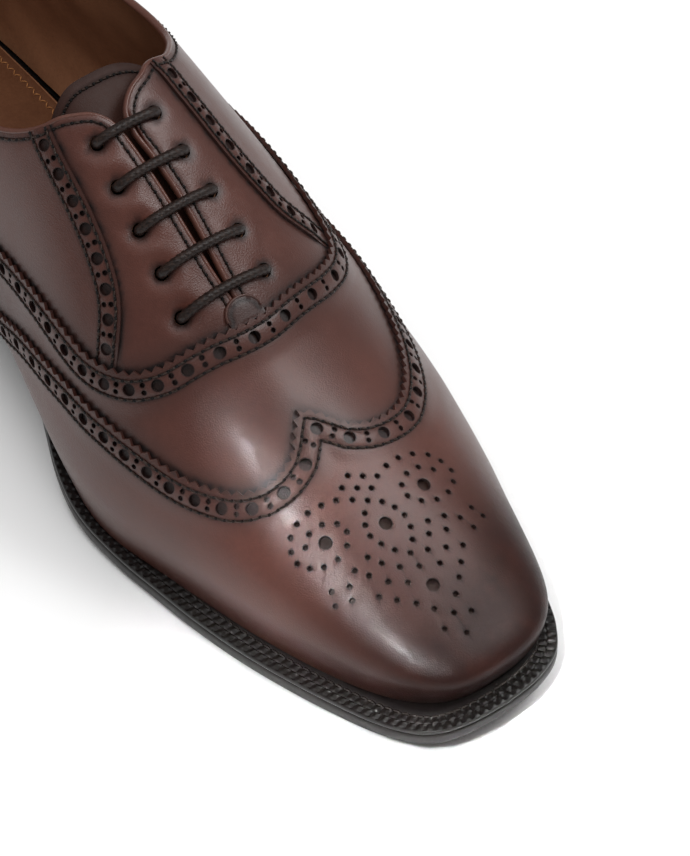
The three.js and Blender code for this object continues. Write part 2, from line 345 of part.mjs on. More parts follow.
// quarters
const iFront = 0, mid = TOPLINE.findIndex((c) => c[0] === Math.min(...TOPLINE.map((t) => t[0])));
function quarter(side) {
  const strip = side === 'm' ? offset(STRIP_M, HG) : offset(STRIP_L, -HG);
  const top = side === 'm' ? TOPLINE.slice(0, mid + 1) : rev(TOPLINE.slice(mid));
  const vu = side === 'm' ? vampUnder : rev(vampUnder), cu = side === 'm' ? rev(counterUnder) : counterUnder;
  // counter under-line, from the back seam to the feather on this side
  const cs = cross(strip, vu);
  const k = counterUnder.reduce((b, c, i) => (Math.abs(c[1]) < Math.abs(counterUnder[b][1]) ? i : b), 0);
  const half = side === 'm' ? rev(counterUnder.slice(0, k)) : counterUnder.slice(k + 1);
  const s = side === 'm' ? -1 : 1, g = 0.0045 * s;
  const back = [[top[top.length - 1][0], g], [counterUnder[k][0], g]];
  const topCut = top.slice(0, -1);
  return [...rev(topCut), strip[0], ...before(strip, cs, 'i').slice(1), ...rev(vu.slice(0, cs.j + 1)), ...rev(half), back[1], back[0]];
}
for (const side of ['m', 'l']) piece(side === 'm' ? 'quarter_medial' : 'quarter_lateral', 'calf', trimmed([region(quarter(side), flat)]));

// ---------------------------------------------------------------- linings and stiffeners
const stiffDepth = hermite([8, 60, 95, 125, 205, 232, 304], [1.3, 1.3, 0.9, 0.1, 0.1, 1.3, 1.3]);
const linTop = (p) => -TH - mm(1.0) - mm(stiffDepth(clamp(p, 8, 304)));
const linH = (p, q) => { const x = surf(p, q).P.x, t = linTop(x); return [t, t - mm(LINING)]; };
const LINOPT = { tol: 0.62, lmax: 40, lmin: 3 }, STIFFOPT = { tol: 0.5, lmax: 40, lmin: 3 }, TONGUEOPT = { tol: 0.3, lmax: 40, lmin: 3 };
const rimDrop = (l) => l;
// throat line where the vamp lining meets the quarter linings
const linLine = offset(VAMP, -mm(3.0));
const linSide = (side) => {
  const top = side === 'm' ? TOPLINE.slice(0, mid + 1) : rev(TOPLINE.slice(mid));
  const edge = side === 'm' ? EDGE_M : EDGE_L, ll = side === 'm' ? linLine : rev(linLine);
  const ce = cross(edge, offset(ll, side === 'm' ? -HG : HG)), lo = offset(ll, side === 'm' ? -HG : HG);
  const s = side === 'm' ? -1 : 1, g = 0.0045 * s;
  const halfUnder = side === 'm' ? heelUnder.filter((c) => c[1] < -0.01 && c[0] < 84) : rev(heelUnder).filter((c) => c[1] > 0.01 && c[0] < 84);
  const corner = edge.slice(1);
  return [...rev(top.slice(0, -1)), ...before(corner, cross(corner, lo), 'i'), ...rev(lo.slice(0, cross(corner, lo).j + 1)), ...halfUnder, [heelUnder.reduce((a, c) => Math.min(a, c[0]), 99), g], [top[top.length - 1][0], g]];
};
for (const side of ['m', 'l']) {
  piece(side === 'm' ? 'quarter_lining_medial' : 'quarter_lining_lateral', 'tan', trimmed([region(linSide(side), linH, EYES[side].map((c) => circle(c, mm(EYELET_R))), LINOPT)]));
}
piece('vamp_lining', 'tan', trimmed([region([...offset(linLine, HG), ...toeUnder.filter((c) => c[0] > 100)], linH, [], LINOPT)]));
// toe puff under the wing cap
const puffLine = [[236, -1.52], [243, -1.2], [249, -0.85], [252.5, -0.45], [253.5, 0], [252.5, 0.45], [249, 0.82], [243, 1.15], [236, 1.45]];
const puffEnds = [[226, -2.3], ...puffLine, [226, 2.2]];
piece('toe_puff', 'stiff', trimmed([region([...puffEnds, ...toeUnder.filter((c) => c[0] > 228)], () => [-TH - mm(0.65), -TH - mm(1.15)], [], STIFFOPT)]));
// counter stiffener round the heel
const stiffLine = offset(COUNTER_L, mm(3));
piece('heel_stiffener', 'stiff', trimmed([region([...stiffLine, ...heelUnder.filter((c) => c[0] < 72)], () => [-TH - mm(0.65), -TH - mm(1.15)], [], STIFFOPT)]));
// heel grip inside the back of the linings
const gripH = (p, q) => { const t = linH(p, q)[1] - mm(0.85); return [t, t - mm(0.7)]; };
const gripLine = offset(TOPLINE.filter((c) => c[0] < 60), -mm(4));
const gripUnder = heelUnder.filter((c) => c[0] < 50);
piece('heel_grip', 'tan', slab([region([...gripLine, ...rev(gripUnder.map((c) => [54 + (c[0] - 54) * 0.74, c[1] * 0.74]))], gripH, [], LINOPT)], surf));

// ---------------------------------------------------------------- tongue
const tongueTop = mm(7.0), tongueEdge = [[207, -0.3], [200, -0.44], [190, -0.52], [178, -0.56], [166, -0.58], [154, -0.60], [144, -0.58], [139.5, -0.5], [137.6, -0.38], [137.2, -0.2], [137.6, 0], [137.4, 0.2], [137.8, 0.4], [139.8, 0.54], [144, 0.62], [154, 0.62], [166, 0.58], [178, 0.54], [190, 0.48], [200, 0.4], [207, 0.26]];
const tongueIn = tongueEdge.map((c, i) => [c[0] + (c[0] > 205 ? -2.2 : c[0] < 139.9 ? 1.4 : 0), c[1] * 0.955]);
piece('tongue', 'calf', slab([region(tongueEdge, () => [-tongueTop, -tongueTop - TH], [], TONGUEOPT)], surf));
piece('tongue_lining', 'tan', slab([region(tongueIn, () => [-tongueTop - TH - G, -tongueTop - TH - G - mm(0.8)], [], TONGUEOPT)], surf));

// ---------------------------------------------------------------- throat stay, a small half-moon over the foot of the lacing gap
{
  const c0 = [200.2, -0.032], arc = []; const s = surf(...c0);
  const X = new THREE.Vector3(1, 0, 0).addScaledVector(s.N, -s.N.x).normalize(), Y = s.N.clone().cross(X);
  const pt = (x, y) => shift(c0[0], c0[1], X.clone().multiplyScalar(mm(x)).addScaledVector(Y, mm(y)));
  for (let i = 0; i <= 12; i++) { const a = Math.PI / 2 + (i / 12) * Math.PI; arc.push(pt(1.2 + Math.cos(a) * 4.6, Math.sin(a) * 5.2)); }
  piece('throat_stay', 'calf', slab([region(arc, () => [mm(1.2), G])], surf));
}

// ---------------------------------------------------------------- sole
const inset = (poly, d) => {
  const n = poly.length, out = []; let A = 0; for (let i = 0; i < n; i++) { const a = poly[i], b = poly[(i + 1) % n]; A += a[0] * b[1] - b[0] * a[1]; }
  const s = Math.sign(A);
  for (let i = 0; i < n; i++) { const a = poly[(i + n - 1) % n], b = poly[(i + 1) % n], L = Math.hypot(b[0] - a[0], b[1] - a[1]); out.push([poly[i][0] - s * d * (b[1] - a[1]) / L, poly[i][1] + s * d * (b[0] - a[0]) / L]); }
  return out;
};
const smooth = (poly, k = 2) => {
  const n = poly.length, t = [...Array(n + 5).keys()].map((i) => i - 2), X = hermite(t, t.map((i) => poly[(i + n) % n][0])), Y = hermite(t, t.map((i) => poly[(i + n) % n][1]));
  const out = []; for (let i = 0; i < n * k; i++) out.push([X(i / k), Y(i / k)]); return out;
};
// a flat-laid piece between two heights that follow the bottom line of the last
function laid(outer, holes, lo, hi, opts = {}) {
  const place = (x, y) => ({ P: new THREE.Vector3(x, y, zbot(x)), N: new THREE.Vector3(0, 0, 1) });
  const mesh = meshRegion(outer, holes, place, { tol: 0.22, lmax: 40, sc: 1, ...opts });
  return slab([{ mesh, h: (x) => [hi(x) - zbot(x), lo(x) - zbot(x)] }], place);
}
const soleOutline = SOLE;
const Z0 = (k) => (x) => zbot(x) + mm(k);
piece('outsole', 'edge', laid(soleOutline, [], Z0(0), Z0(OUTSOLE)));
const weltIn = inset(SOLE, mm(13.5)).filter((p) => p[0] > 20 && p[0] < 291);
piece('welt', 'edge', laid(soleOutline, [weltIn], Z0(OUTSOLE + GAP), (x) => zf(x)));
const fillerOut = inset(weltIn, mm(0.5));
const shankRect = [[52, -6.5], [70, -6.8], [88, -7], [106, -7], [124, -6.6], [142, -6.2], [142, 6.2], [124, 6.6], [106, 7], [88, 7], [70, 6.8], [52, 6.5]].map((p) => [p[0], p[1] + 2]);
piece('cork_filler', 'cork', laid(fillerOut, [shankRect], Z0(OUTSOLE + GAP), (x) => zf(x) - mm(0.1)));
piece('steel_shank', 'steel', laid(inset(shankRect, mm(0.5)), [], Z0(OUTSOLE + 0.4), Z0(OUTSOLE + 1.5)));
// plan outline of the inner space just above the welt
function innerPlan(dz, d) {
  const out = [], S0 = (c) => { const s = surf(...c); return s; };
  for (const c of [...TOE_UNDER, ...HEEL_UNDER.slice(1, -1)]) {
    // move up from the feather along the ray until the wanted height is reached
    const lo = [c[0] > XP ? XP : c[0] < XQ ? XQ : c[0], 0], f = (t) => [c[0] > XP ? XP + (c[0] - XP) * t : c[0] < XQ ? XQ + (c[0] - XQ) * t : c[0], c[1] * t];
    let a = 0.5, b = 1; for (let i = 0; i < 30; i++) { const m = (a + b) / 2, P = surf(...f(m)).P; if (P.z > zf(P.x) + dz) a = m; else b = m; }
    const s = surf(...f(a)), h = new THREE.Vector3(s.N.x, s.N.y, 0).normalize(); out.push([s.P.x - h.x * d, s.P.y - h.y * d]);
  }
  return out;
}
const insolePlan = innerPlan(mm(0.6), mm(LEATHER + 2.3 + LINING + 1.6));
piece('insole', 'tan', laid(insolePlan, [], (x) => zf(x) + mm(0.35), (x) => zf(x) + mm(0.35 + INSOLE)));
const sockPlan = inset(insolePlan, mm(1.4)).filter((p) => p[0] < 112);
piece('heel_sock', 'tan', laid(sockPlan, [], (x) => zf(x) + mm(0.35 + INSOLE + GAP), (x) => zf(x) + mm(0.35 + INSOLE + GAP + 0.9)));

// ---------------------------------------------------------------- heel
const BREAST = 81, heelPlan = (t) => {
  const o = inset(SOLE, mm(0.6 + 1.6 * t)).filter((p) => p[0] < BREAST - 1.5 * t - 1), b = BREAST - 1.5 * t;
  const yl = Math.max(...o.filter((p) => p[0] > 55).map((p) => p[1])), ym = Math.min(...o.filter((p) => p[0] > 55).map((p) => p[1]));
  const k = o.findIndex((p, i) => p[1] > 0 && o[(i + 1) % o.length][1] < 0 && p[0] > 40), br = [];
  for (let i = 0; i <= 8; i++) { const u = i / 8; br.push([b - 4.2 * Math.sin(Math.PI * u), yl + 0.2 + (ym - yl - 0.4) * u]); }
  return [...o.slice(0, k + 1), ...br, ...o.slice(k + 1)];
};
function lift(z0, z1, top) {
  const hiF = top ? (x) => zbot(x) - mm(GAP) : () => z1, n = heelPlan(1).length, T = [], V = [];
  const H = 24, A = heelPlan(clamp(1 - z0 / H, 0, 1)), B = heelPlan(clamp(1 - z1 / H, 0, 1));
  const mesh = meshRegion(A, [], (x, y) => ({ P: new THREE.Vector3(x, y, 0), N: new THREE.Vector3(0, 0, 1) }), { tol: 1, lmax: top ? 26 : 60, sc: 1 });
  const mapB = new Map(A.map((p, i) => [p[0] + ',' + p[1], B[i]]));
  for (const p of mesh.pts) V.push(new THREE.Vector3(p[0], p[1], z0));
  for (const p of mesh.pts) { const b = mapB.get(p[0] + ',' + p[1]) ?? [p[0], p[1]]; V.push(new THREE.Vector3(b[0], b[1], hiF(b[0]))); }
  const m = mesh.pts.length, E = new Map(); for (const [a, b, c] of mesh.tris) { T.push([a, c, b], [a + m, b + m, c + m]); for (const [i, j] of [[a, b], [b, c], [c, a]]) E.set(i + '_' + j, [i, j]); }
  for (const [, [i, j]] of E) if (!E.has(j + '_' + i)) T.push([i, j, j + m], [i, j + m, i + m]);
  return solid(V, T);
}
const liftTops = [TOP_PIECE, 12, 17.6];
let top = lift(0, mm(TOP_PIECE), false);
const nails = [[20, 3], [31, 22], [31, -20], [52, 26.5], [52, -25.5], [68, 27], [68, -26]];
const NAIL_R = 1.2, NAIL_L = 4.4;
nails.forEach(([x, y], i) => {
  const hole = new THREE.CylinderGeometry(mm(NAIL_R + 0.3), mm(NAIL_R + 0.3), mm(NAIL_L + 2), 10); hole.rotateX(Math.PI / 2); hole.translate(x, y, mm((NAIL_L + 0.4 - 2 + 0.4) / 2 - 0.2));
  top = top.subtract(fromGeometry(hole));
});
piece('heel_top_piece', 'rubber', top);
nails.forEach(([x, y], i) => {
  const nail = new THREE.CylinderGeometry(mm(NAIL_R), mm(NAIL_R), mm(NAIL_L - 0.5), 10); nail.rotateX(Math.PI / 2); nail.translate(x, y, mm(0.2 + (NAIL_L - 0.5) / 2));
  piece('heel_nail_' + (i + 1), 'brass', fromGeometry(nail));
});
piece('heel_lift_1', 'edge', lift(mm(TOP_PIECE + GAP), mm(liftTops[1]), false));
piece('heel_lift_2', 'edge', lift(mm(liftTops[1] + GAP), mm(liftTops[2]), false));
piece('heel_lift_3', 'edge', lift(mm(liftTops[2] + GAP), mm(22), true));

// ---------------------------------------------------------------- lace: one length, five straight bars, both ends tucked inside
{
  const up = mm(LACE_R + 0.35), dn = -mm(LEATHER + 1.0 + 0.1 + LINING + LACE_R + 0.65), L = [...EYE_M].reverse(), R = [...EYE_L].reverse();
  const pts = [];
  const P = (p, q, d) => pts.push(at(p, q, d));
  const mixc = (a, b, t) => [a[0] + (b[0] - a[0]) * t, a[1] + (b[1] - a[1]) * t];
  const bar = (a, b) => { P(a[0], a[1], dn * 0.62); P(a[0], a[1], -mm(0.7)); P(...mixc(a, b, 0.0), up * 0.35); P(...mixc(a, b, 0.13), up * 0.98); for (const t of [0.3, 0.5, 0.7]) P(...mixc(a, b, t), up); P(...mixc(a, b, 0.87), up * 0.98); P(...b, up * 0.35); P(b[0], b[1], -mm(0.7)); P(b[0], b[1], dn * 0.62); };
  const run = (a, b, dq) => { for (const t of [0.22, 0.5, 0.78]) { const c = mixc(a, b, t); P(c[0], c[1] + dq * Math.sin(Math.PI * t), dn); } };
  // lateral half, from its end inwards
  const end = (c, s) => [[c[0] - 9, c[1] + s * 0.23], [c[0] - 19, c[1] + s * 0.275], [c[0] - 3.5, c[1] + s * 0.12]];
  const eL = end(R[4], 1), eM = end(L[3], -1);
  const tipA = [], tipB = [];
  P(...eL[1], dn); P(...eL[0], dn); P(...eL[2], dn);
  bar(R[4], L[4]);                 // bar 5
  run(L[4], L[2], 0.13);           // under to L3
  bar(L[2], R[2]);                 // bar 3
  run(R[2], R[0], -0.115);         // under to R1
  bar(R[0], L[0]);                 // bar 1
  run(L[0], L[1], 0.0);            // under to L2
  bar(L[1], R[1]);                 // bar 2
  run(R[1], R[3], 0.115);          // under to R4
  bar(R[3], L[3]);                 // bar 4
  P(...eM[2], dn); P(...eM[0], dn); P(...eM[1], dn);
  const curve = new THREE.CatmullRomCurve3(pts, false, 'centripetal');
  function tube(c, r, u0, u1, minStep, maxStep, sides) {
    const N = 900, fr = c.computeFrenetFrames(N, false), rings = [], Lc = c.getLength(); let last = -1e9;
    const T = [], V = [], i0 = Math.ceil(u0 * N), i1 = Math.floor(u1 * N); let prevT = null;
    for (let i = i0; i <= i1; i++) {
      const u = i / N;
      const s = u * Lc, t = fr.tangents[i], turn = prevT ? t.angleTo(prevT) : 9;
      if (!(turn > 0.42 && s - last > minStep) && s - last < maxStep && i < i1) continue;
      if (i === i1 && s - last < minStep && rings.length > 1) rings.pop();
      last = s; prevT = t.clone(); rings.push(i);
    }
    rings.forEach((i, k) => { const p = c.getPointAt(i / N); for (let j = 0; j < sides; j++) { const a = (j / sides) * 2 * Math.PI; V.push(p.clone().addScaledVector(fr.normals[i], Math.cos(a) * r).addScaledVector(fr.binormals[i], Math.sin(a) * r)); } });
    const n = rings.length; for (let k = 0; k < n - 1; k++) for (let j = 0; j < sides; j++) { const a = k * sides + j, b = k * sides + (j + 1) % sides; T.push([a, b, b + sides], [a, b + sides, a + sides]); }
    for (let j = 1; j < sides - 1; j++) { T.push([0, j + 1, j]); const e = (n - 1) * sides; T.push([e, e + j, e + j + 1]); }
    return solid(V, T);
  }
  const aglet = mm(8), Lc = curve.getLength(), g = mm(0.3);
  piece('lace', 'lace', tube(curve, mm(LACE_R), (aglet + g) / Lc, 1 - (aglet + g) / Lc, 1.1, 5, 7));
  piece('lace_aglet_1', 'lace', tube(curve, mm(LACE_R), 0, aglet / Lc, 3, 9, 8));
  piece('lace_aglet_2', 'lace', tube(curve, mm(LACE_R), 1 - aglet / Lc, 1, 3, 9, 8));
}

export default shoe;
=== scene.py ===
import math
import bpy
import numpy as np
from mathutils import Matrix, Vector
from mathutils.geometry import delaunay_2d_cdt

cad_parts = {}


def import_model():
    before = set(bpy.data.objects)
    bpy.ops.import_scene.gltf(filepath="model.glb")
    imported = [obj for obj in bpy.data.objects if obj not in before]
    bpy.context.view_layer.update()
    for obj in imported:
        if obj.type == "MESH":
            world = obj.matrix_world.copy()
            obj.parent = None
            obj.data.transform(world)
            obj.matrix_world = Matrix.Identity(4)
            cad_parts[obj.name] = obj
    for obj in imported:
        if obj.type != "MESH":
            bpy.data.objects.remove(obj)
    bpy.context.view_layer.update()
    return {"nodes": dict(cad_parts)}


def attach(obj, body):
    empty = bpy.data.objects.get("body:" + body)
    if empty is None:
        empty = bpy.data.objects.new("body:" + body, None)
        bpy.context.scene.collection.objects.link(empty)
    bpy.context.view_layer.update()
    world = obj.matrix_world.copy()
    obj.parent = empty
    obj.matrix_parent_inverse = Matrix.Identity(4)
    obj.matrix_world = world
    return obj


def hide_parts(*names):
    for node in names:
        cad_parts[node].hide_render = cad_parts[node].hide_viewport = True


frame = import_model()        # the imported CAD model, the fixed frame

# Left full-brogue oxford. Surface tables are in table units; K turns a unit into millimetres, to_m into metres.
K = 1.0256
ORI = np.array([156.1, 5.2, 0.0])
FAN = 40.0


def mm(v):
    return v / K


def to_m(P):
    return (np.asarray(P, float) - ORI) * (K / 1000.0)


def hermite(xs, ys):
    xs = np.asarray(xs, float)
    ys = np.asarray(ys, float)
    d = np.diff(ys) / np.diff(xs)
    h = np.diff(xs)
    m = np.empty_like(ys)
    m[0] = d[0]
    m[-1] = d[-1]
    m[1:-1] = (h[1:] * d[:-1] + h[:-1] * d[1:]) / (h[1:] + h[:-1])

    def f(x):
        x = np.clip(np.asarray(x, float), xs[0], xs[-1])
        i = np.clip(np.searchsorted(xs, x, side='right') - 1, 0, len(xs) - 2)
        hh = xs[i + 1] - xs[i]
        t = (x - xs[i]) / hh
        return ys[i] * (1 + 2 * t) * (1 - t) ** 2 + m[i] * hh * t * (1 - t) ** 2 + ys[i + 1] * t * t * (3 - 2 * t) + m[i + 1] * hh * t * t * (t - 1)
    return f


# ------------------------------------------------------------------ the last
XQ = 54.0; XP = 232.0; XT = 299.0; XH = 11.5
NT = 2.75; NH = 2.3
zbot = hermite([8, 46, 78, 98, 113, 132, 151, 170, 190, 210, 225, 245, 265, 285, 304], [24.5, 23.5, 22.3, 20.5, 18, 13.2, 8.4, 4.4, 1.5, .2, 0, .8, 2.6, 5.3, 8.8])
TS = 6.0
TL = hermite([8, 33, 54, 77, 100, 122, 145, 160, 175, 190, 205, 220, 232, 247, 262, 275, 285, 293, 300], [33.5, 34.3, 34.6, 35.6, 38.4, 42.2, 46.9, 49.4, 51.4, 52.2, 51.2, 48.7, 45.6, 41.3, 37.2, 35.2, 34.9, 35.4, 35.6])
TM = hermite([8, 33, 54, 77, 100, 122, 145, 160, 175, 190, 200, 212, 226, 240, 254, 268, 281, 300], [33.0, 33.3, 33.3, 33.2, 32.8, 33.4, 36.0, 39.4, 42.6, 44.2, 43.6, 41.4, 38.6, 36.0, 33.4, 31.2, 29.8, 28.6])
YC = hermite([0, 60, 120, 180, 240, 300], [0, 0, 0, 0, 0, -.5])
zbul = hermite([0, 46, 95, 130, 160, 190, 215, 240, 265, 285, 304], [20, 20, 19, 17.5, 15.5, 13, 11.5, 10, 9, 8, 7])
Zc = hermite([0, 46, 80, 100, 120, 140, 156, 166, 176, 186, 196, 210, 224, 240, 257, 275, 290, 304], [150, 148, 138, 128, 117, 106, 96.5, 90, 83, 76, 68.8, 59, 51.0, 44.4, 39.7, 36.0, 33.5, 31.5])
YR = hermite([8, 60, 120, 160, 200, 240, 280, 304], [0, 0, -1, -2, -2.2, -2, -1.6, -1.2])
KK = hermite([8, 54, 95, 120, 135, 150, 175, 190, 200, 225, 245, 265, 304], [2.7, 2.8, 2.8, 2.7, 2.6, 2.55, 2.4, 2.2, 2.0, 1.9, 2.0, 2.15, 2.3])
MM = hermite([8, 54, 95, 120, 150, 175, 200, 225, 245, 265, 304], [1.5, 1.5, 1.5, 1.45, 1.4, 1.4, 1.5, 1.7, 1.9, 2.0, 2.1])
DF = hermite([8, 54, 80, 110, 130, 150, 170, 190, 220, 250, 304], [.10, .10, .13, .24, .27, .22, .09, .03, .03, .03, .03])
ZS = hermite([8, 54, 95, 140, 180, 210, 232, 304], [58, 58, 54, 44, 33, 26, 23, 23])
SOLE = [(8, 0), (9.2, 9), (13, 18), (20, 26), (32, 32.3), (47, 35.0), (65, 36.0), (83, 36.8), (98, 38.2), (112, 40.4), (126, 43.6), (141, 47.2), (156, 51.4), (170, 54.4), (185, 55.9), (200, 55.5), (215, 53.4), (230, 49.9), (247.5, 44.2), (268.9, 35.8), (283, 29.0), (292.7, 23.8), (299.6, 17.8), (303, 10), (304.2, 0.5), (304, -6.5), (303.0, -13.6), (300.8, -19.6), (297.2, -24), (292, -27.2), (287, -29.3), (274.3, -33.1), (260.6, -36.6), (246, -39.7), (232, -41.9), (215.6, -43.8), (207.5, -44.8), (199, -45.4), (190.7, -45.5), (184, -44.8), (176.5, -42.9), (169.5, -40.3), (162, -36.8), (152, -32.4), (140, -28.9), (127, -27.6), (112, -28), (98, -29.6), (83, -31.4), (65, -33.9), (47, -34.0), (32, -31.2), (20, -25), (13, -17.4), (9.2, -9)]


def zf(x):
    return zbot(x) + TS


_LX = np.arange(-6, 311, .2)
_LUT = np.stack([g(_LX) for g in (zbot, TL, TM, YC, zbul, Zc, YR, KK, MM, DF)])


def F(P):
    """The last's level set: negative inside."""
    x, y, z = P[..., 0], P[..., 1], P[..., 2]
    xx = np.clip(x, -5, 309)
    u = (xx + 6) / .2; i = u.astype(int); u = u - i
    zb0, tl, tm, yc, zu, zc, yr, kk, mmx, df = _LUT[:, i] * (1 - u) + _LUT[:, i + 1] * u
    zb = zb0 + TS + zu
    h = np.clip((z - zb) / np.maximum(zc - zb, 1.), 0, 1.2)
    yy = y - yc - (yr - yc) * h
    T = np.where(yy > 0, tl, tm)
    e = np.maximum(np.maximum(0, (xx - XP) / (XT - XP)), np.maximum(0, (XQ - xx) / (XQ - XH)))
    n = np.where(xx > XP, NT, NH)
    w = (np.abs(yy / T) ** n + e ** n) ** (1 / n)
    t = np.clip((zb - z) / zu, 0, 1.6)
    return np.where(z >= zb, w ** kk + h ** mmx - 1, (w - (1 - df * t ** 1.8)) * 2)


def ray(p, q):
    x0 = np.clip(p, XQ, XP)
    al = np.where(p > XP, (p - XP) / FAN, np.where(p < XQ, (p - XQ) / FAN, 0.0))
    a = np.sqrt(al * al + q * q) + 1e-12
    s = np.sin(a) / a
    return np.stack([x0, YC(x0) + 0 * p, ZS(x0)], -1), np.stack([s * al, s * q, np.cos(a)], -1)


def bisect(C, D):
    lo = np.zeros(len(C)); hi = np.full(len(C), 160.0)
    for _ in range(34):
        m = (lo + hi) / 2
        ins = F(C + D * m[:, None]) < 0
        lo = np.where(ins, m, lo); hi = np.where(ins, hi, m)
    return (lo + hi) / 2


GP = np.arange(-48.0, 312.0, 3.0)
GQ = np.arange(-2.9, 2.901, 0.05)
_a, _b = np.meshgrid(GP, GQ, indexing='ij')
RG = bisect(*ray(_a.ravel(), _b.ravel())).reshape(_a.shape)


def surf(p, q):
    """Surface points and outward unit normals at chart positions, in table units."""
    p = np.atleast_1d(np.asarray(p, float)); q = np.atleast_1d(np.asarray(q, float))
    C, D = ray(p, q)
    u = np.clip((p - GP[0]) / 3.0, 0, len(GP) - 1.001); v = np.clip((q - GQ[0]) / 0.05, 0, len(GQ) - 1.001)
    i = u.astype(int); j = v.astype(int); u = u - i; v = v - j
    r = (RG[i, j] * (1 - u) + RG[i + 1, j] * u) * (1 - v) + (RG[i, j + 1] * (1 - u) + RG[i + 1, j + 1] * u) * v
    for _ in range(3):
        f = F(C + D * r[:, None])
        g = (F(C + D * (r + .02)[:, None]) - f) / .02
        g = np.where(np.abs(g) < 1e-4, 1e-4, g)
        r = r - np.clip(f / g, -1.5, 1.5)
    bad = np.abs(F(C + D * r[:, None])) > 1e-5
    if bad.any():
        r[bad] = bisect(C[bad], D[bad])
    P = C + D * r[:, None]
    e = 0.05
    G = F(P[None] + np.vstack([np.eye(3), -np.eye(3)])[:, None] * e); N = (G[:3] - G[3:]).T
    N /= np.linalg.norm(N, axis=-1, keepdims=True) + 1e-12
    return P, N


def A2(l):
    return np.asarray(l, float).reshape(-1, 2)


def at(l, d=0.0):
    """Points on or d mm above the surface for chart positions."""
    l = A2(l); P, N = surf(l[:, 0], l[:, 1])
    return P + N * (np.asarray(d, float) / K).reshape(-1, 1)


def shift(p, q, V):
    A, _ = surf(p, q)
    U = (surf(p + .05, q)[0] - A) / .05
    W = (surf(p, q + .002)[0] - A) / .002
    uu = (U * U).sum(1); uw = (U * W).sum(1); ww = (W * W).sum(1)
    a = (U * V).sum(1); b = (W * V).sum(1); d = uu * ww - uw * uw
    return p + (a * ww - b * uw) / d, q + (b * uu - a * uw) / d


def arclen(P):
    return np.r_[0, np.cumsum(np.linalg.norm(np.diff(P, axis=0), axis=1))]


def even(L, step):
    """Resamples a dense chart line to an even 3-D step in mm."""
    L = A2(L); t = arclen(at(L)); n = max(1, int(round(t[-1] / mm(step))))
    s = np.linspace(0, t[-1], n + 1)
    return np.stack([np.interp(s, t, L[:, 0]), np.interp(s, t, L[:, 1])], 1)


def smooth_line(L, step=0.8):
    L = A2(L); t = arclen(at(L)); k = np.r_[True, np.diff(t) > 1e-6]; L = L[k]; t = t[k]
    s = np.linspace(0, t[-1], max(8, int(t[-1] / 0.5)))
    return even(np.stack([hermite(t, L[:, 0])(s), hermite(t, L[:, 1])(s)], 1), step)


def frames(L):
    L = A2(L); P, N = surf(L[:, 0], L[:, 1])
    T = np.empty_like(P); T[1:-1] = P[2:] - P[:-2]; T[0] = P[1] - P[0]; T[-1] = P[-1] - P[-2]
    T /= np.linalg.norm(T, axis=1, keepdims=True) + 1e-12
    R = np.cross(T, N); R /= np.linalg.norm(R, axis=1, keepdims=True) + 1e-12
    return P, N, T, R


def unloop(L):
    for _ in range(40):
        n = len(L)
        if n < 4:
            return L
        X = L * [1, FAN]; A = X[:-1]; B = X[1:] - X[:-1]
        rx = B[:, 0][:, None]; ry = B[:, 1][:, None]; sx = B[:, 0][None]; sy = B[:, 1][None]
        qx = A[:, 0][None] - A[:, 0][:, None]; qy = A[:, 1][None] - A[:, 1][:, None]
        k = rx * sy - ry * sx
        k = np.where(np.abs(k) < 1e-12, np.nan, k)
        with np.errstate(invalid='ignore'):
            t = (qx * sy - qy * sx) / k; u = (qx * ry - qy * rx) / k
            hit = (t > 0) & (t < 1) & (u > 0) & (u < 1)
        hit &= np.arange(n - 1)[None] > np.arange(n - 1)[:, None] + 1
        if not hit.any():
            return L
        i = int(np.argmax(hit.any(1))); j = int(np.max(np.nonzero(hit[i])[0]))
        x = L[i] + (L[i + 1] - L[i]) * t[i, j]
        L = np.vstack([L[:i + 1], x, L[j + 1:]])
    return L


def offset(L, d):
    """Line moved d mm to the right of its direction, seen from outside."""
    L = A2(L); P, N, T, R = frames(L); p, q = L[:, 0].copy(), L[:, 1].copy()
    n = max(1, int(math.ceil(abs(d) / 1.5)))
    dd = np.broadcast_to(np.asarray(d, float), (len(L),))
    for _ in range(n):
        p, q = shift(p, q, R * (dd / K / n)[:, None])
    return unloop(np.stack([p, q], 1))


def offset_each(L, d):
    L = A2(L); P, N, T, R = frames(L)
    return np.stack(shift(L[:, 0], L[:, 1], R * (np.asarray(d, float) / K)[:, None]), 1)


def cross(a, b):
    """First crossing of two chart lines: (point, index on a, index on b)."""
    a = A2(a); b = A2(b); X = a * [1, FAN]; Y = b * [1, FAN]; A = X[:-1]; B = X[1:] - A; C = Y[:-1]; D = Y[1:] - C
    k = B[:, 0][:, None] * D[:, 1][None] - B[:, 1][:, None] * D[:, 0][None]
    k = np.where(np.abs(k) < 1e-12, np.nan, k)
    qx = C[:, 0][None] - A[:, 0][:, None]; qy = C[:, 1][None] - A[:, 1][:, None]
    with np.errstate(invalid='ignore'):
        t = (qx * D[:, 1][None] - qy * D[:, 0][None]) / k; u = (qx * B[:, 1][:, None] - qy * B[:, 0][:, None]) / k
        hit = (t >= 0) & (t <= 1) & (u >= 0) & (u <= 1)
    if not hit.any():
        raise ValueError('lines do not cross')
    i = int(np.argmax(hit.any(1))); j = int(np.argmax(hit[i]))
    return a[i] + (a[i + 1] - a[i]) * t[i, j], i, j


def before(l, x, i):
    return np.vstack([A2(l)[:i + 1], x])


def after(l, x, i):
    return np.vstack([x, A2(l)[i + 1:]])


def rev(l):
    return A2(l)[::-1]


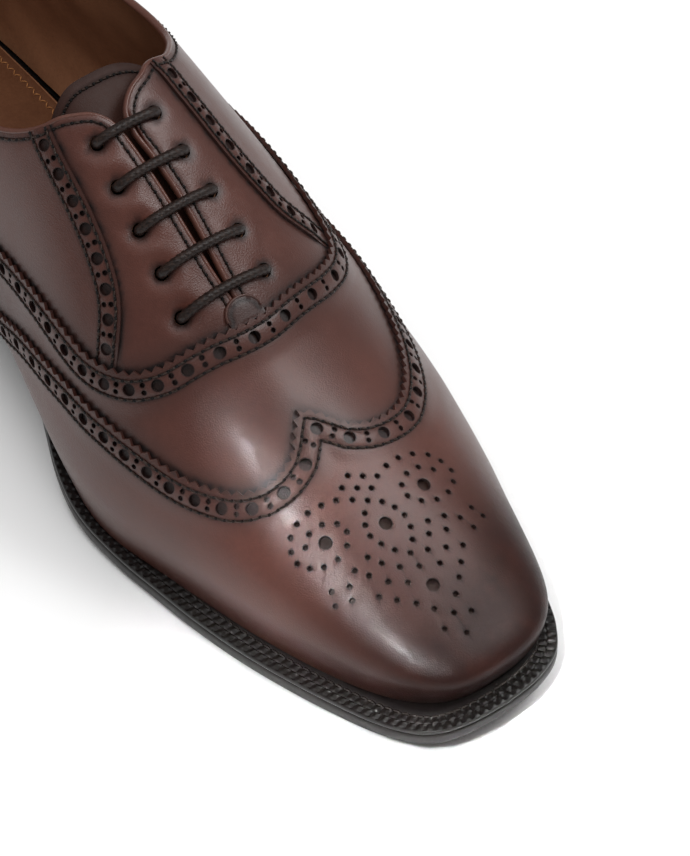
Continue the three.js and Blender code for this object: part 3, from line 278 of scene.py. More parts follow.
def dist(P, L3, chunk=3000):
    """Distance in mm from points to a 3-D polyline."""
    A = L3[:-1]; B = L3[1:] - A; bb = (B * B).sum(1) + 1e-12; out = np.empty(len(P))
    for s in range(0, len(P), chunk):
        X = P[s:s + chunk]; V = X[:, None] - A[None]
        t = np.clip((V * B[None]).sum(2) / bb, 0, 1); V -= t[..., None] * B[None]
        out[s:s + chunk] = np.sqrt((V * V).sum(2).min(1))
    return out * K


def sstep(a, b, x):
    t = np.clip((np.asarray(x, float) - a) / (b - a), 0, 1)
    return t * t * (3 - 2 * t)


def bell(x, w):
    return np.exp(-(x / w) ** 2)


# ------------------------------------------------------------------ lines of the pattern, in the chart
TOPLINE = [(143.5, -0.336), (138, -0.437), (132, -0.51), (124, -0.581), (114, -0.655), (102, -0.736), (90, -0.795), (78, -0.829), (66, -0.831), (56,
    -0.811), (45.87, -0.758), (38.5, -0.671), (32.19, -0.545), (27.26, -0.386), (24.11, -0.2), (23.14, 0), (24.02, 0.201), (27.02, 0.389), (31.74,
    0.556), (37.92, 0.696), (45.45, 0.797), (56, 0.866), (66, 0.896), (78, 0.905), (90, 0.888), (102, 0.843), (114, 0.765), (124, 0.678), (132,
    0.588), (138, 0.487), (143.1, 0.368)]
COUNTER = [(78.5, -2.52), (74, -2.174), (69, -1.994), (63, -1.809), (56, -1.628), (39.48, -1.355), (28.37, -1.11), (19.57, -0.861), (12.49, -0.599),
    (8.1, -0.307), (6.62, 0), (8.09, 0.307), (12.44, 0.6), (19.5, 0.863), (28.33, 1.111), (39.48, 1.355), (56, 1.626), (63, 1.798), (69, 1.974), (74,
    2.146), (78.5, 2.46)]
TOE_UNDER = [(100, 2.388), (115, 2.394), (130, 2.385), (150, 2.296), (170, 2.137), (190, 2.05), (210, 2.01), (225, 2.001), (232, 1.999), (248.68,
    1.962), (264.46, 1.822), (278.25, 1.591), (289.06, 1.284), (296.27, 0.928), (300.28, 0.555), (302.49, 0.185), (302.5, -0.185), (300.79, -0.559),
    (297.25, -0.942), (290.24, -1.311), (279.46, -1.633), (265.49, -1.88), (249.28, -2.033), (232, -2.078), (225, -2.083), (210, -2.087), (190,
    -2.122), (170, -2.231), (150, -2.423), (130, -2.51), (115, -2.499), (100, -2.466)]
HEEL_UNDER = [(100, -2.466), (85, -2.421), (70, -2.403), (58, -2.401), (54, -2.401), (29.33, -2.302), (7, -2.035), (-11.4, -1.635), (-24.97, -1.14),
    (-33.45, -0.586), (-36.5, 0), (-33.42, 0.586), (-24.84, 1.138), (-11.15, 1.629), (7.27, 2.023), (29.5, 2.286), (54, 2.382), (58, 2.381), (70,
    2.375), (85, 2.373), (100, 2.388)]
WING = [(106, -2.56), (111, -2.36), (118, -2.16), (126, -1.98), (134, -1.83), (142, -1.7), (148.5, -1.59), (152, -1.525), (158.6, -1.435), (165.4,
    -1.368), (171.7, -1.315), (177.4, -1.278), (182.9, -1.255), (188, -1.238), (193.1, -1.218), (197.5, -1.208), (201.6, -1.197), (205.6, -1.188),
    (209.6, -1.178), (213.5, -1.163), (217.1, -1.14), (220.5, -1.108), (223.8, -1.069), (227, -1.02), (229.6, -0.96), (231.7, -0.88), (233.4, -0.78),
    (234, -0.662), (233.2, -0.548), (231.4, -0.432), (228.9, -0.318), (226.6, -0.221), (224.3, -0.117), (226.5, 0), (228.7, 0.09), (230.9, 0.179),
    (233.6, 0.292), (235.6, 0.433), (236, 0.56), (235.2, 0.71), (232.6, 0.852), (228.6, 0.985), (223.9, 1.082), (218.8, 1.15), (212.9, 1.21), (205.6,
    1.262), (198.9, 1.297), (190, 1.325), (183, 1.345), (177, 1.365), (171.7, 1.388), (165.4, 1.42), (158.6, 1.468), (152, 1.54), (148.5, 1.59), (142,
    1.69), (134, 1.81), (126, 1.95), (118, 2.11), (111, 2.29), (106, 2.48)]
VAMP = [(84, -2.56), (88, -2.34), (94, -2.08), (101, -1.84), (110, -1.6), (120, -1.38), (130, -1.225), (140, -1.125), (150, -1.055), (156, -1.025),
    (162.2, -1.004), (168.1, -0.994), (174.8, -0.99), (180.8, -0.982), (185.1, -0.955), (188.9, -0.912), (192.7, -0.847), (195.6, -0.759), (197.6,
    -0.667), (198.8, -0.566), (199.6, -0.485), (200.4, -0.404), (201.1, -0.321), (201.9, -0.233), (202.5, -0.14), (202.8, -0.03), (202.6, 0.08), (202,
    0.17), (201.2, 0.26), (200.4, 0.35), (199.6, 0.44), (198.7, 0.53), (197.6, 0.63), (196, 0.73), (193.6, 0.84), (190.2, 0.922), (186, 0.965), (181,
    0.985), (174.8, 0.99), (168.1, 0.992), (162.2, 0.998), (156, 1.015), (150, 1.04), (140, 1.1), (130, 1.195), (120, 1.345), (110, 1.56), (101, 1.8),
    (94, 2.03), (88, 2.27), (84, 2.48)]
STRIP_M = [(143.5, -0.303), (146.7, -0.316), (152.4, -0.34), (158, -0.361), (162.8, -0.381), (167.3, -0.408), (171.9, -0.442), (175.4, -0.478),
    (179.7, -0.536), (183.4, -0.62), (186, -0.72), (188, -0.83), (189.4, -0.93), (190.6, -1.03), (191.6, -1.12)]
STRIP_L = [(143.1, 0.223), (147.2, 0.238), (153.5, 0.266), (159.2, 0.298), (165.3, 0.335), (171.8, 0.39), (177.7, 0.46), (183.6, 0.56), (187.4, 0.7),
    (189.6, 0.83), (190.8, 0.93), (191.8, 1.03), (192.6, 1.12)]
EDGE_M = [(146, -0.257), (148.1, -0.2), (150.6, -0.133), (153, -0.095), (155.4, -0.076), (159.5, -0.066), (168.2, -0.058), (175.5, -0.056), (183.3,
    -0.06), (190, -0.062), (196, -0.056), (201, -0.05), (209, -0.045)]
EDGE_L = [(146, 0.207), (147.6, 0.165), (149.5, 0.09), (151.6, 0.035), (154.3, -0.006), (158.1, -0.018), (164.3, -0.004), (174.1, 0.012), (184.6,
    0.004), (192, -0.008), (198, -0.018), (203, -0.024), (209, -0.03)]
EYE_M = [(155.9, -0.192), (165.7, -0.231), (175.3, -0.268), (184.9, -0.311), (194.2, -0.379)]
EYE_L = [(156.6, 0.116), (166.3, 0.146), (175.9, 0.182), (185.5, 0.222), (194.9, 0.262)]
MED_BIG = [(267.56, 0.534), (273.3, -0.084), (264.98, -0.685), (286.56, -0.069)]
MED_SMALL = [(255.06, 0.526), (255.21, 0.69), (256.98, 0.82), (260.38, 0.876), (264.37, 0.881), (268.35, 0.797), (271.41, 0.667), (272.88, 0.516),
    (272.16, 0.381), (269.42, 0.304), (265.42, 0.34), (262.17, 0.475), (260.98, 0.633), (263.19, 0.739), (256.34, 0.349), (258.65, 0.178), (255.69,
    0.034), (252.08, -0.11), (254.82, -0.253), (258.54, -0.108), (261.59, 0.03), (257.28, -0.386), (261.09, -0.236), (264.59, -0.098), (267.62,
    0.028), (270.94, 0.103), (267.31, -0.209), (274.06, 0.133), (277.11, 0.102), (270.14, -0.277), (273.12, -0.295), (276.28, -0.246), (279.12,
    -0.17), (281.29, -0.063), (279.54, 0.032), (277.41, 0.28), (277.28, 0.441), (278.34, 0.541), (276.33, 0.707), (278.44, 0.721), (280.62, 0.561),
    (280.1, 0.355), (279.91, 0.197), (282.32, 0.087), (283.03, 0.232), (283.37, 0.359), (254.73, -0.537), (253.14, -0.682), (252.95, -0.819), (260.15,
    -0.632), (263.67, -0.507), (267.71, -0.466), (258.9, -0.776), (254.51, -0.927), (261.01, -0.859), (258.04, -0.981), (262.19, -0.979), (266.32,
    -0.9), (269.24, -0.788), (270.9, -0.652), (270.36, -0.529), (276.09, -0.418), (278.97, -0.336), (281.79, -0.217), (283.66, -0.07), (284.81,
    0.093), (285.64, 0.239), (275.7, -0.57), (278.64, -0.481), (281.91, -0.366), (284.2, -0.232), (287.29, 0.14), (288.66, 0.032), (276.92, -0.66),
    (274.56, -0.81), (279.02, -0.684), (277.17, -0.823), (282.18, -0.486), (284.51, -0.376), (286.61, -0.263), (288.41, -0.17), (289.91, -0.066),
    (290.56, 0.046), (290.25, -0.187), (291.67, -0.075)]
WING_HOLES = [(154.8, -1.645), (162.9, -1.524), (170.9, -1.447), (178.5, -1.416), (186, -1.394), (193.2, -1.372), (200.1, -1.355), (207.1, -1.339),
    (214.1, -1.31), (221.4, -1.264), (228.6, -1.174), (236.3, -1.011), (241.2, -0.729), (238.1, -0.398), (230.8, -0.108), (238.9, 0.161), (243.9,
    0.542), (240.2, 0.905), (231.6, 1.14), (216.6, 1.371), (208.3, 1.458)]
VAMP_HOLES = [(152.3, -1.126), (159.6, -1.109), (167, -1.091), (174.3, -1.084), (181.5, -1.081), (188.5, -1.048), (194.8, -0.953), (199.5, -0.783),
    (202.7, -0.572), (204.7, -0.332), (205.3, -0.069), (204.5, 0.227), (202.5, 0.528), (198.8, 0.817), (192.3, 1.038)]
STRIP_HOLES_M = [(146.8, -0.369), (153.8, -0.394), (160.2, -0.424), (166.1, -0.474), (172.2, -0.525), (177.8, -0.595), (182.5, -0.697), (185.1, -0.85)]
STRIP_HOLES_L = [(148.7, 0.32), (155.1, 0.341), (161.3, 0.366), (167.6, 0.403), (173.7, 0.452), (179.4, 0.52), (184.4, 0.63), (187, 0.82)]

# ------------------------------------------------------------------ derived lines
def feather(line, z0):
    """Moves an under-line up its ray until the surface is z0 mm above the welt's top."""
    L = A2(line); lo = np.full(len(L), .5); hi = np.full(len(L), 1.04)
    cx = np.clip(L[:, 0], XQ, XP)
    for _ in range(26):
        m = (lo + hi) / 2; P = surf(cx + (L[:, 0] - cx) * m, L[:, 1] * m)[0]
        up = P[:, 2] > zf(P[:, 0]) + mm(z0)
        lo = np.where(up, m, lo); hi = np.where(up, hi, m)
    return np.stack([cx + (L[:, 0] - cx) * lo, L[:, 1] * lo], 1)


def chart_spline(L, n):
    L = A2(L); t = np.r_[0, np.cumsum(np.hypot(*(np.diff(L, axis=0) * [1, FAN]).T))]; s = np.linspace(0, t[-1], n)
    return np.stack([hermite(t, L[:, 0])(s), hermite(t, L[:, 1])(s)], 1)


FE_TOE = feather(chart_spline(TOE_UNDER, 420), 0.12)      # lateral waist, round the toe, medial waist
FE_HEEL = feather(chart_spline(HEEL_UNDER, 320), 0.12)    # medial waist, round the heel, lateral waist
WI = int(np.argmin([abs(a - 224.3) + 10 * abs(b + .117) for a, b in WING]))
WING_A = smooth_line(WING[:WI + 1], .75); WING_B = smooth_line(WING[WI:], .75)
WING_S = np.vstack([WING_A, WING_B[1:]])
VAMP_S = smooth_line(VAMP, .75)
COUNT_S = rev(smooth_line(COUNTER, .75))                  # lateral to medial; + is down
STRIPS = {'m': smooth_line(STRIP_M, .75), 'l': smooth_line(STRIP_L, .75)}
FOLD = smooth_line([(214, -.046)] + list(rev(EDGE_M)) + list(TOPLINE) + list(EDGE_L) + [(214, -.031)], .75)   # lacing edge, collar, lacing edge
WING3, VAMP3, COUNT3, FOLD3 = at(WING_S), at(VAMP_S), at(COUNT_S), at(FOLD)
STRIP3 = {s: at(STRIPS[s]) for s in STRIPS}


def gimp(branches, pitch=2.95, tip=-0.55, root=0.75):
    """Pinked edge: alternate tips and roots; each branch ends on a tip so that corners stay sharp."""
    out = []
    for b in branches:
        b = A2(b); t = arclen(at(b)); n = max(2, int(round(t[-1] / mm(pitch)))) * 2
        s = np.linspace(0, t[-1], n + 1); l = np.stack([np.interp(s, t, b[:, 0]), np.interp(s, t, b[:, 1])], 1)
        d = np.where(np.arange(n + 1) % 2 == 0, tip, root)
        o = offset_each(l, d)
        out.append(o if not out else o[1:])
    return np.vstack(out)


def rings(C, r, n, ph=0.0):
    """Circles of n points and radius r mm round each chart point of C."""
    C = A2(C); P, N = surf(C[:, 0], C[:, 1])
    X = np.array([1.0, 0, 0]) - N * N[:, :1]; X /= np.linalg.norm(X, axis=1, keepdims=True); Y = np.cross(N, X)
    a = np.arange(n) / n * 2 * math.pi + ph
    V = (np.cos(a)[None, :, None] * X[:, None] + np.sin(a)[None, :, None] * Y[:, None]).reshape(-1, 3) * mm(r) / 2
    p = np.repeat(C[:, 0], n); q = np.repeat(C[:, 1], n)
    for _ in range(2):
        p, q = shift(p, q, V)
    return np.stack([p, q], 1).reshape(len(C), n, 2)


def project(line, pts):
    """Arc positions (mm) along a line of the points nearest to pts."""
    P = at(line); t = arclen(P) * K; X = at(pts)
    return np.array([t[int(np.argmin(((P - x) ** 2).sum(1)))] for x in X])


def along(line, s):
    P = at(line); t = arclen(P) * K; l = A2(line)
    return np.stack([np.interp(s, t, l[:, 0]), np.interp(s, t, l[:, 1])], 1)


def band_holes(line, seen, pitch=8.2, s0=3.0, s1=3.0, side=1.0, gap=0.98):
    """Large holes on a line at the seen positions, carried on at an even pitch, and a pair of small ones between each two."""
    line = even(line, 0.25); t = arclen(at(line)) * K; s = sorted(project(line, seen)); k = [s[0]]
    for v in s[1:]:
        if v - k[-1] > 4.5:
            if v - k[-1] > 1.6 * pitch:
                m = int(round((v - k[-1]) / pitch)); k += [k[-1] + (v - k[-1]) * i / m for i in range(1, m)]
            k.append(v)
    while k[0] - pitch > s0:
        k.insert(0, k[0] - pitch)
    while k[-1] + pitch < t[-1] - s1:
        k.append(k[-1] + pitch)
    k = np.array(k); big = along(line, k); mid = (k[1:] + k[:-1]) / 2
    mids = along(line, mid); P, N, T, R = frames(line); u = np.stack([np.interp(mid, t, R[:, i]) for i in range(3)], 1)
    small = [np.stack(shift(mids[:, 0], mids[:, 1], u * mm(g)), 1) for g in (-gap, gap)]
    return big, np.vstack(small)


WING_BIG, WING_SMALL = band_holes(offset(WING_S, 4.3), WING_HOLES)
VAMP_BIG, VAMP_SMALL = band_holes(offset(VAMP_S, 4.3), VAMP_HOLES)
COUNT_BIG, COUNT_SMALL = band_holes(offset(COUNT_S, 4.3), along(offset(COUNT_S, 4.3), [40.0]))
SB_M, SS_M = band_holes(offset(STRIPS['m'], 3.4)[:-8], STRIP_HOLES_M, 8.0, 2.2, 7.0)
SB_L, SS_L = band_holes(offset(STRIPS['l'], -3.4)[:-8], STRIP_HOLES_L, 8.0, 2.2, 7.0)
STRIP_BIG = {'m': SB_M, 'l': SB_L}; STRIP_SMALL = {'m': SS_M, 'l': SS_L}
EYES = {'m': A2(EYE_M), 'l': A2(EYE_L)}

ROWS = {     # stitch rows, chart lines
    'wing': [offset(WING_S, 2.0), offset(WING_S, 7.1)],
    'vamp': [offset(VAMP_S, 2.0), offset(VAMP_S, 7.1)],
    'counter': [offset(COUNT_S, 2.0), offset(COUNT_S, 7.1)],
    'strip_m': [offset(STRIPS['m'], 1.15), offset(STRIPS['m'], 5.9)],
    'strip_l': [offset(STRIPS['l'], -1.15), offset(STRIPS['l'], -5.9)],
    'fold': [offset(FOLD, -2.0)],
}


def clip_to(row, line, keep_after):
    """Cuts a row where it crosses a line."""
    try:
        x, i, j = cross(row, line)
    except ValueError:
        return A2(row)
    return after(row, x, i) if keep_after else before(row, x, i)


# ------------------------------------------------------------------ heights of the leathers above the last, in mm
VAMP_UNDER = offset(VAMP_S, 7.5); WING_UNDER = offset(WING_S, 8.0); COUNT_UNDER = offset(COUNT_S, 7.5)
GR = 0.16     # depth of the groove a seam pulls into the leather


def groove(P, rows, w=0.5):
    h = np.zeros(len(P)); b = np.zeros(len(P))
    for r in rows:
        # the dark band along each row is painted shade in the seam's groove
        d = dist(P, at(r)); h -= GR * bell(d, w) + 0.10 * bell(d, 1.6); b = np.maximum(b, .85 * bell(d, .42) + .26 * bell(d, 1.2))
    return h, b


def lap(P, line3, rows, raise_=1.2, a=3.0, b=12.0):
    d = dist(P, line3); g, burn_and_shade = groove(P, rows)
    h = raise_ * (1 - sstep(a, b, d)) + g - 0.16 * bell(d, .55)
    burn_and_shade = np.maximum(burn_and_shade, .75 * bell(np.maximum(d - .25, 0), .5))
    return h, burn_and_shade, d


def h_wing(p, q, P):
    h, b, d = lap(P, WING3, ROWS['wing'])
    return h, np.maximum(b, .22 * (1 - sstep(6, 13, d))), d


def h_vamp(p, q, P):
    h, b, d = lap(P, VAMP3, ROWS['vamp'], 1.25)
    dw = dist(P, WING3)
    inside = under_side(p, q, 'wing')
    # painted shade: dark where the wing covers the vamp (seen through its holes) and a painted shadow along the wing's
    # edge
    b = np.maximum(np.maximum(b, .2 * (1 - sstep(6, 13, d))), np.where(inside, .94, .9 * bell(dw, .9) + .34 * bell(dw, 4.5)))
    return h - np.where(inside, 0.1 + .12 * sstep(0, 2, dw), .1 * bell(dw, 2.)), b, d


def h_counter(p, q, P):
    h, b, d = lap(P, COUNT3, ROWS['counter'], 1.15)
    return h, np.maximum(b, .2 * (1 - sstep(6, 13, d))), d


def under_side(p, q, name):
    """True for chart points on the covered side of a lapped edge."""
    L = {'wing': WING_S, 'vamp': VAMP_S, 'counter': COUNT_S}[name]
    X = np.stack([p, q * FAN], 1); A = L[:-1] * [1, FAN]; B = L[1:] * [1, FAN] - A; bb = (B * B).sum(1) + 1e-12; out = np.empty(len(X), bool)
    for s in range(0, len(X), 3000):
        V = X[s:s + 3000, None] - A[None]; t = np.clip((V * B[None]).sum(2) / bb, 0, 1)
        W = V - t[..., None] * B[None]; k = np.argmin((W * W).sum(2), 1); r = np.arange(len(k))
        # chart axes run p forward and q to the lateral side, seen from outside with the normal towards the eye
        c = B[k, 0] * V[r, k, 1] - B[k, 1] * V[r, k, 0]
        out[s:s + 3000] = c < 0
    return out


def h_under(p, q, P, names):
    """Covered borders: pressed down a little; painted shade where covered and a painted shadow beside the covering
    edge. Returns height and the burn-and-shade mask.
    """
    h = np.zeros(len(P)); b = np.zeros(len(P))
    for n in names:
        d = dist(P, {'wing': WING3, 'vamp': VAMP3, 'counter': COUNT3}[n]); ins = under_side(p, q, n)
        h -= np.where(ins, .1 + .12 * sstep(0, 2, d), .1 * bell(d, 2.)); b = np.maximum(b, np.where(ins, .94, .9 * bell(d, .9) + .34 * bell(d, 4.5)))
    return h, b


def h_quarter(side):
    def f(p, q, P):
        ds = dist(P, STRIP3[side]); dv = dist(P, VAMP3); df = dist(P, FOLD3)
        fade = (.3 + .7 * sstep(1.5, 8, dv)) * (.45 + .55 * sstep(0, 6, df))
        g, b = groove(P, ROWS['strip_' + side] + ROWS['fold'])
        hu, bu = h_under(p, q, P, ['vamp', 'counter'])
        h = .95 * (1 - sstep(2.5, 9.5, ds)) * fade + g + hu - .12 * bell(ds, .5) - .35 * bell(df, .8)
        b = np.maximum(np.maximum(b, bu), np.maximum(.55 * bell(ds, .6), .18 * (1 - sstep(5, 10, ds))))
        return h, b, ds
    return f


def h_facing(side):
    s = 1 if side == 'm' else -1
    eye3 = at(EYES[side])

    def f(p, q, P):
        ds = dist(P, STRIP3[side]); df = dist(P, FOLD3)
        L = STRIPS[side]; cov = side_of(p, q, L) * s > 0
        g, b = groove(P, ROWS['fold'])
        hu, bu = h_under(p, q, P, ['vamp'])
        h = g + hu - .35 * bell(df, .8) - np.where(cov, .1 + .25 * sstep(0, 2, ds), 0)
        # painted shade where the quarter strip covers the facing, and a painted shadow along the strip's edge
        b = np.maximum(np.maximum(b, bu), np.where(cov, .9, .85 * bell(ds, .7) + .3 * bell(ds, 2.6)))
        for c in eye3:
            r = np.linalg.norm(P - c, axis=1) * K
            if side == 'm':
                h += -.85 * bell(r, 3.3) + .34 * bell(r - 5.6, 2.0)
            else:
                h += -.42 * bell(r, 2.8) + .1 * bell(r - 4.6, 1.6)
            # dark ring round each lace hole: painted shade
            b = np.maximum(b, .9 * bell(np.maximum(r - 2.0, 0), .55))
        if side == 'm':     # pull lines between the lace holes and soft waves towards the strip
            w = np.sin(P[:, 0] * .62 + .5) * np.cos(P[:, 1] * .35 + 1.3) * .14 + np.sin(P[:, 0] * .31 - P[:, 1] * .5) * .12
            h += w * sstep(1, 4, ds) * sstep(2, 5, df) * (~cov)
        return h, b, ds
    return f


def side_of(p, q, L):
    X = np.stack([p, q * FAN], 1); A = L[:-1] * [1, FAN]; B = L[1:] * [1, FAN] - A; bb = (B * B).sum(1) + 1e-12; out = np.empty(len(X))
    for s in range(0, len(X), 3000):
        V = X[s:s + 3000, None] - A[None]; t = np.clip((V * B[None]).sum(2) / bb, 0, 1)
        W = V - t[..., None] * B[None]; k = np.argmin((W * W).sum(2), 1); r = np.arange(len(k))
        out[s:s + 3000] = -np.sign(B[k, 0] * V[r, k, 1] - B[k, 1] * V[r, k, 0])
    return out


# ------------------------------------------------------------------ mesh helpers
def make(name, V, faces, mat, body='shoe', smooth=True, attrs=None, sharp=38.0):
    me = bpy.data.meshes.new(name)
    V = np.asarray(V, float)
    if isinstance(faces, np.ndarray) and faces.ndim == 2:
        n, k = faces.shape
        me.vertices.add(len(V)); me.vertices.foreach_set('co', V.ravel())
        me.loops.add(n * k); me.loops.foreach_set('vertex_index', faces.astype(np.int32).ravel())
        me.polygons.add(n); me.polygons.foreach_set('loop_start', np.arange(0, n * k, k, dtype=np.int32))
        me.update(calc_edges=True)
    else:
        me.from_pydata([tuple(v) for v in V], [], faces)
    me.validate(clean_customdata=False)
    for k, v in (attrs or {}).items():
        a = me.attributes.new(k, 'FLOAT', 'POINT'); a.data.foreach_set('value', np.asarray(v, np.float32))
    me.polygons.foreach_set('use_smooth', np.ones(len(me.polygons), bool) if smooth else np.zeros(len(me.polygons), bool))
    if smooth and sharp:
        me.set_sharp_from_angle(angle=math.radians(sharp))
    ob = bpy.data.objects.new(name, me); bpy.context.collection.objects.link(ob)
    me.materials.append(mat)
    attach(ob, body)
    return ob


def tri_mix(tris, quads):
    """Triangles and quads as one triangle array."""
    q = np.asarray(quads, int).reshape(-1, 4)
    return np.vstack([np.asarray(tris, int).reshape(-1, 3), q[:, [0, 1, 2]], q[:, [0, 2, 3]]])


def hexfill(poly, s, sq):
    """Points inside a chart polygon on staggered rows."""
    X = A2(poly) * [1, FAN]; nxt = np.roll(X, -1, 0); out = []; y = X[:, 1].min() + sq * .5; k = 0
    while y < X[:, 1].max():
        m = (X[:, 1] > y) != (nxt[:, 1] > y)
        xs = np.sort(X[m, 0] + (y - X[m, 1]) / (nxt[m, 1] - X[m, 1]) * (nxt[m, 0] - X[m, 0]))
        for a, b in zip(xs[::2], xs[1::2]):
            v = np.arange(math.ceil(a / s - (k % 2) * .5) + (k % 2) * .5, b / s, 1.0) * s
            v = v[(v > a + .25 * s) & (v < b - .25 * s)]
            out.append(np.stack([v, np.full(len(v), y)], 1))
        y += sq; k += 1
    return np.vstack(out) / [1, FAN] if out else np.zeros((0, 2))


def clean(line, tol=1e-4):
    L = A2(line); k = np.r_[True, np.hypot(*((L[1:] - L[:-1]) * [1, FAN]).T) > tol]
    L = L[k]
    if np.hypot(*((L[0] - L[-1]) * [1, FAN])) < tol:
        L = L[:-1]
    return L


def thin(pts, fixed, r):
    """Drops points nearer than r (chart mm) to the fixed ones, on a hash grid."""
    if not len(pts) or not len(fixed):
        return pts
    g = {}
    X = fixed * [1, FAN]
    for x in X:
        g.setdefault((int(x[0] // r), int(x[1] // r)), []).append(x)
    keep = []
    for i, x in enumerate(pts * [1, FAN]):
        a, b = int(x[0] // r), int(x[1] // r); ok = True
        for u in (a - 1, a, a + 1):
            for v in (b - 1, b, b + 1):
                for y in g.get((u, v), ()):
                    if (x[0] - y[0]) ** 2 + (x[1] - y[1]) ** 2 < r * r:
                        ok = False; break
                if not ok:
                    break
            if not ok:
                break
        if ok:
            keep.append(i)
    return pts[keep]


def in_outline(pts, poly):
    """Even-odd test of chart points against a closed chart line."""
    A = A2(poly); B = np.roll(A, -1, 0); out = np.zeros(len(pts), bool)
    for s in range(0, len(pts), 4000):
        x = pts[s:s + 4000, :1]; y = pts[s:s + 4000, 1:]
        m = (A[None, :, 1] > y) != (B[None, :, 1] > y)
        dy = np.where(B[:, 1] == A[:, 1], 1e-12, B[:, 1] - A[:, 1])[None]
        m &= x < A[None, :, 0] + (y - A[None, :, 1]) / dy * (B[:, 0] - A[:, 0])[None]
        out[s:s + 4000] = m.sum(1) % 2 == 1
    return out


def off_holes(pts, holes):
    """Drops chart points that fall in or on the edge of a punched hole."""
    if not len(pts):
        return pts
    P = at(pts); keep = np.ones(len(pts), bool)
    for C, r, m in holes:
        if not len(C):
            continue
        X = at(C); lim = mm(r + .3) ** 2
        for s in range(0, len(P), 4000):
            d = ((P[s:s + 4000, None] - X[None]) ** 2).sum(2).min(1)
            keep[s:s + 4000] &= d > lim
    return pts[keep]


def sheet(outer, holes, rows, s=1.6, sq=None, rim=.34):
    """Constrained triangulation of a chart region. Returns chart points, triangles, hole-rim flags."""
    outer = clean(outer); pts = [outer]; edges = []; n = len(outer)
    edges += [(i, (i + 1) % n) for i in range(n)]
    tag = [0] * n; soft = []
    for C, r, m in holes:
        if not len(C):
            continue
        for h, hs in zip(rings(C, r, m), rings(C, r + rim, m, math.pi / m)):
            k = n; pts.append(h); n += m; tag += [len(soft) + 1] * m
            edges += [(k + i, k + (i + 1) % m) for i in range(m)]
            soft.append(hs)
    fixed = np.vstack(pts)
    free = []
    ring_pts = np.vstack(soft) if soft else np.zeros((0, 2))
    for r in rows:
        for d, st in ((0, .9), (-.5, .9), (.5, .9), (-1.3, 1.3), (1.3, 1.3)):
            free.append(even(offset(r, d) if d else r, st))
    extra = np.vstack(free) if free else np.zeros((0, 2))
    extra = off_holes(thin(thin(extra, fixed, .42), ring_pts, .36), holes)
    near = np.vstack([fixed, ring_pts, extra])
    fill = off_holes(thin(hexfill(outer, s, sq or s * .9), near, s * .55), holes)
    cand = np.vstack([ring_pts, extra, fill])
    co = np.vstack([fixed, cand]) * [1, FAN]
    vs, es, fs, ov, oe, of = delaunay_2d_cdt([Vector(c) for c in co], edges, [], 0, 1e-6, True)
    V = np.array([tuple(v) for v in vs]) / [1, FAN]; T = np.array(fs, int)
    T = T[in_outline(V[T].mean(1), outer)]
    tg = np.zeros(len(V), int)
    for i, o in enumerate(ov):
        for k in o:
            if k < len(tag) and tag[k]:
                tg[i] = tag[k]
    t = tg[T]; T = T[~((t[:, 0] > 0) & (t[:, 0] == t[:, 1]) & (t[:, 1] == t[:, 2]))]
    a = V[T]; ar = (a[:, 1, 0] - a[:, 0, 0]) * (a[:, 2, 1] - a[:, 0, 1]) - (a[:, 1, 1] - a[:, 0, 1]) * (a[:, 2, 0] - a[:, 0, 0])
    T = T[np.abs(ar) > 1e-9]; ar = ar[np.abs(ar) > 1e-9]; T = np.where(ar[:, None] < 0, T[:, ::-1], T)
    used = np.unique(T); m = -np.ones(len(V), int); m[used] = np.arange(len(used))
    return V[used], m[T], tg[used]


def boundary(T):
    E = np.vstack([T[:, [0, 1]], T[:, [1, 2]], T[:, [2, 0]]]); key = np.sort(E, 1)
    _, idx, cnt = np.unique(key, axis=0, return_index=True, return_counts=True)
    return E[idx[cnt == 1]]


def panel(name, outer, holes, rows, hfun, thick, mat, s=1.6, body='shoe', base=0.0, attr=True, rimdrop=.05, sq=None):
    """Closed leather slab over a chart region with punched holes."""
    V, T, tg = sheet(outer, holes, rows, s, sq)
    P, N = surf(V[:, 0], V[:, 1])
    h, b, d = hfun(V[:, 0], V[:, 1], P)
    h = h + base
    # hole rims darkened: painted shade in the punched holes
    h = np.where(tg > 0, h - rimdrop, h); b = np.where(tg > 0, np.maximum(b, .8), b)
    th = np.broadcast_to(np.asarray(thick, float), h.shape)
    top = P + N * mm(h)[:, None]; bot = P + N * mm(h - th)[:, None]
    n = len(V); E = boundary(T)
    tris = np.vstack([T, T[:, ::-1] + n, np.stack([E[:, 0], E[:, 0] + n, E[:, 1]], 1), np.stack([E[:, 1], E[:, 0] + n, E[:, 1] + n], 1)])
    # outside faces point along the normal
    a = top[T]; up = (np.cross(a[:, 1] - a[:, 0], a[:, 2] - a[:, 0]) * N[T[:, 0]]).sum()
    if up < 0:
        tris = tris[:, ::-1]
    # the bottom face's mask is .3 higher, so the cut-edge walls darken towards their foot
    ob = make(name, to_m(np.vstack([top, bot])), tris, mat, body, attrs={'burn_and_shade': np.r_[b, np.minimum(b + .3, 1)]} if attr else None)
    return ob


# ------------------------------------------------------------------ materials, all from nodes
def hexc(h):
    c = [int(h[i:i + 2], 16) / 255 for i in (1, 3, 5)]
    return [x / 12.92 if x <= .04045 else ((x + .055) / 1.055) ** 2.4 for x in c] + [1.0]


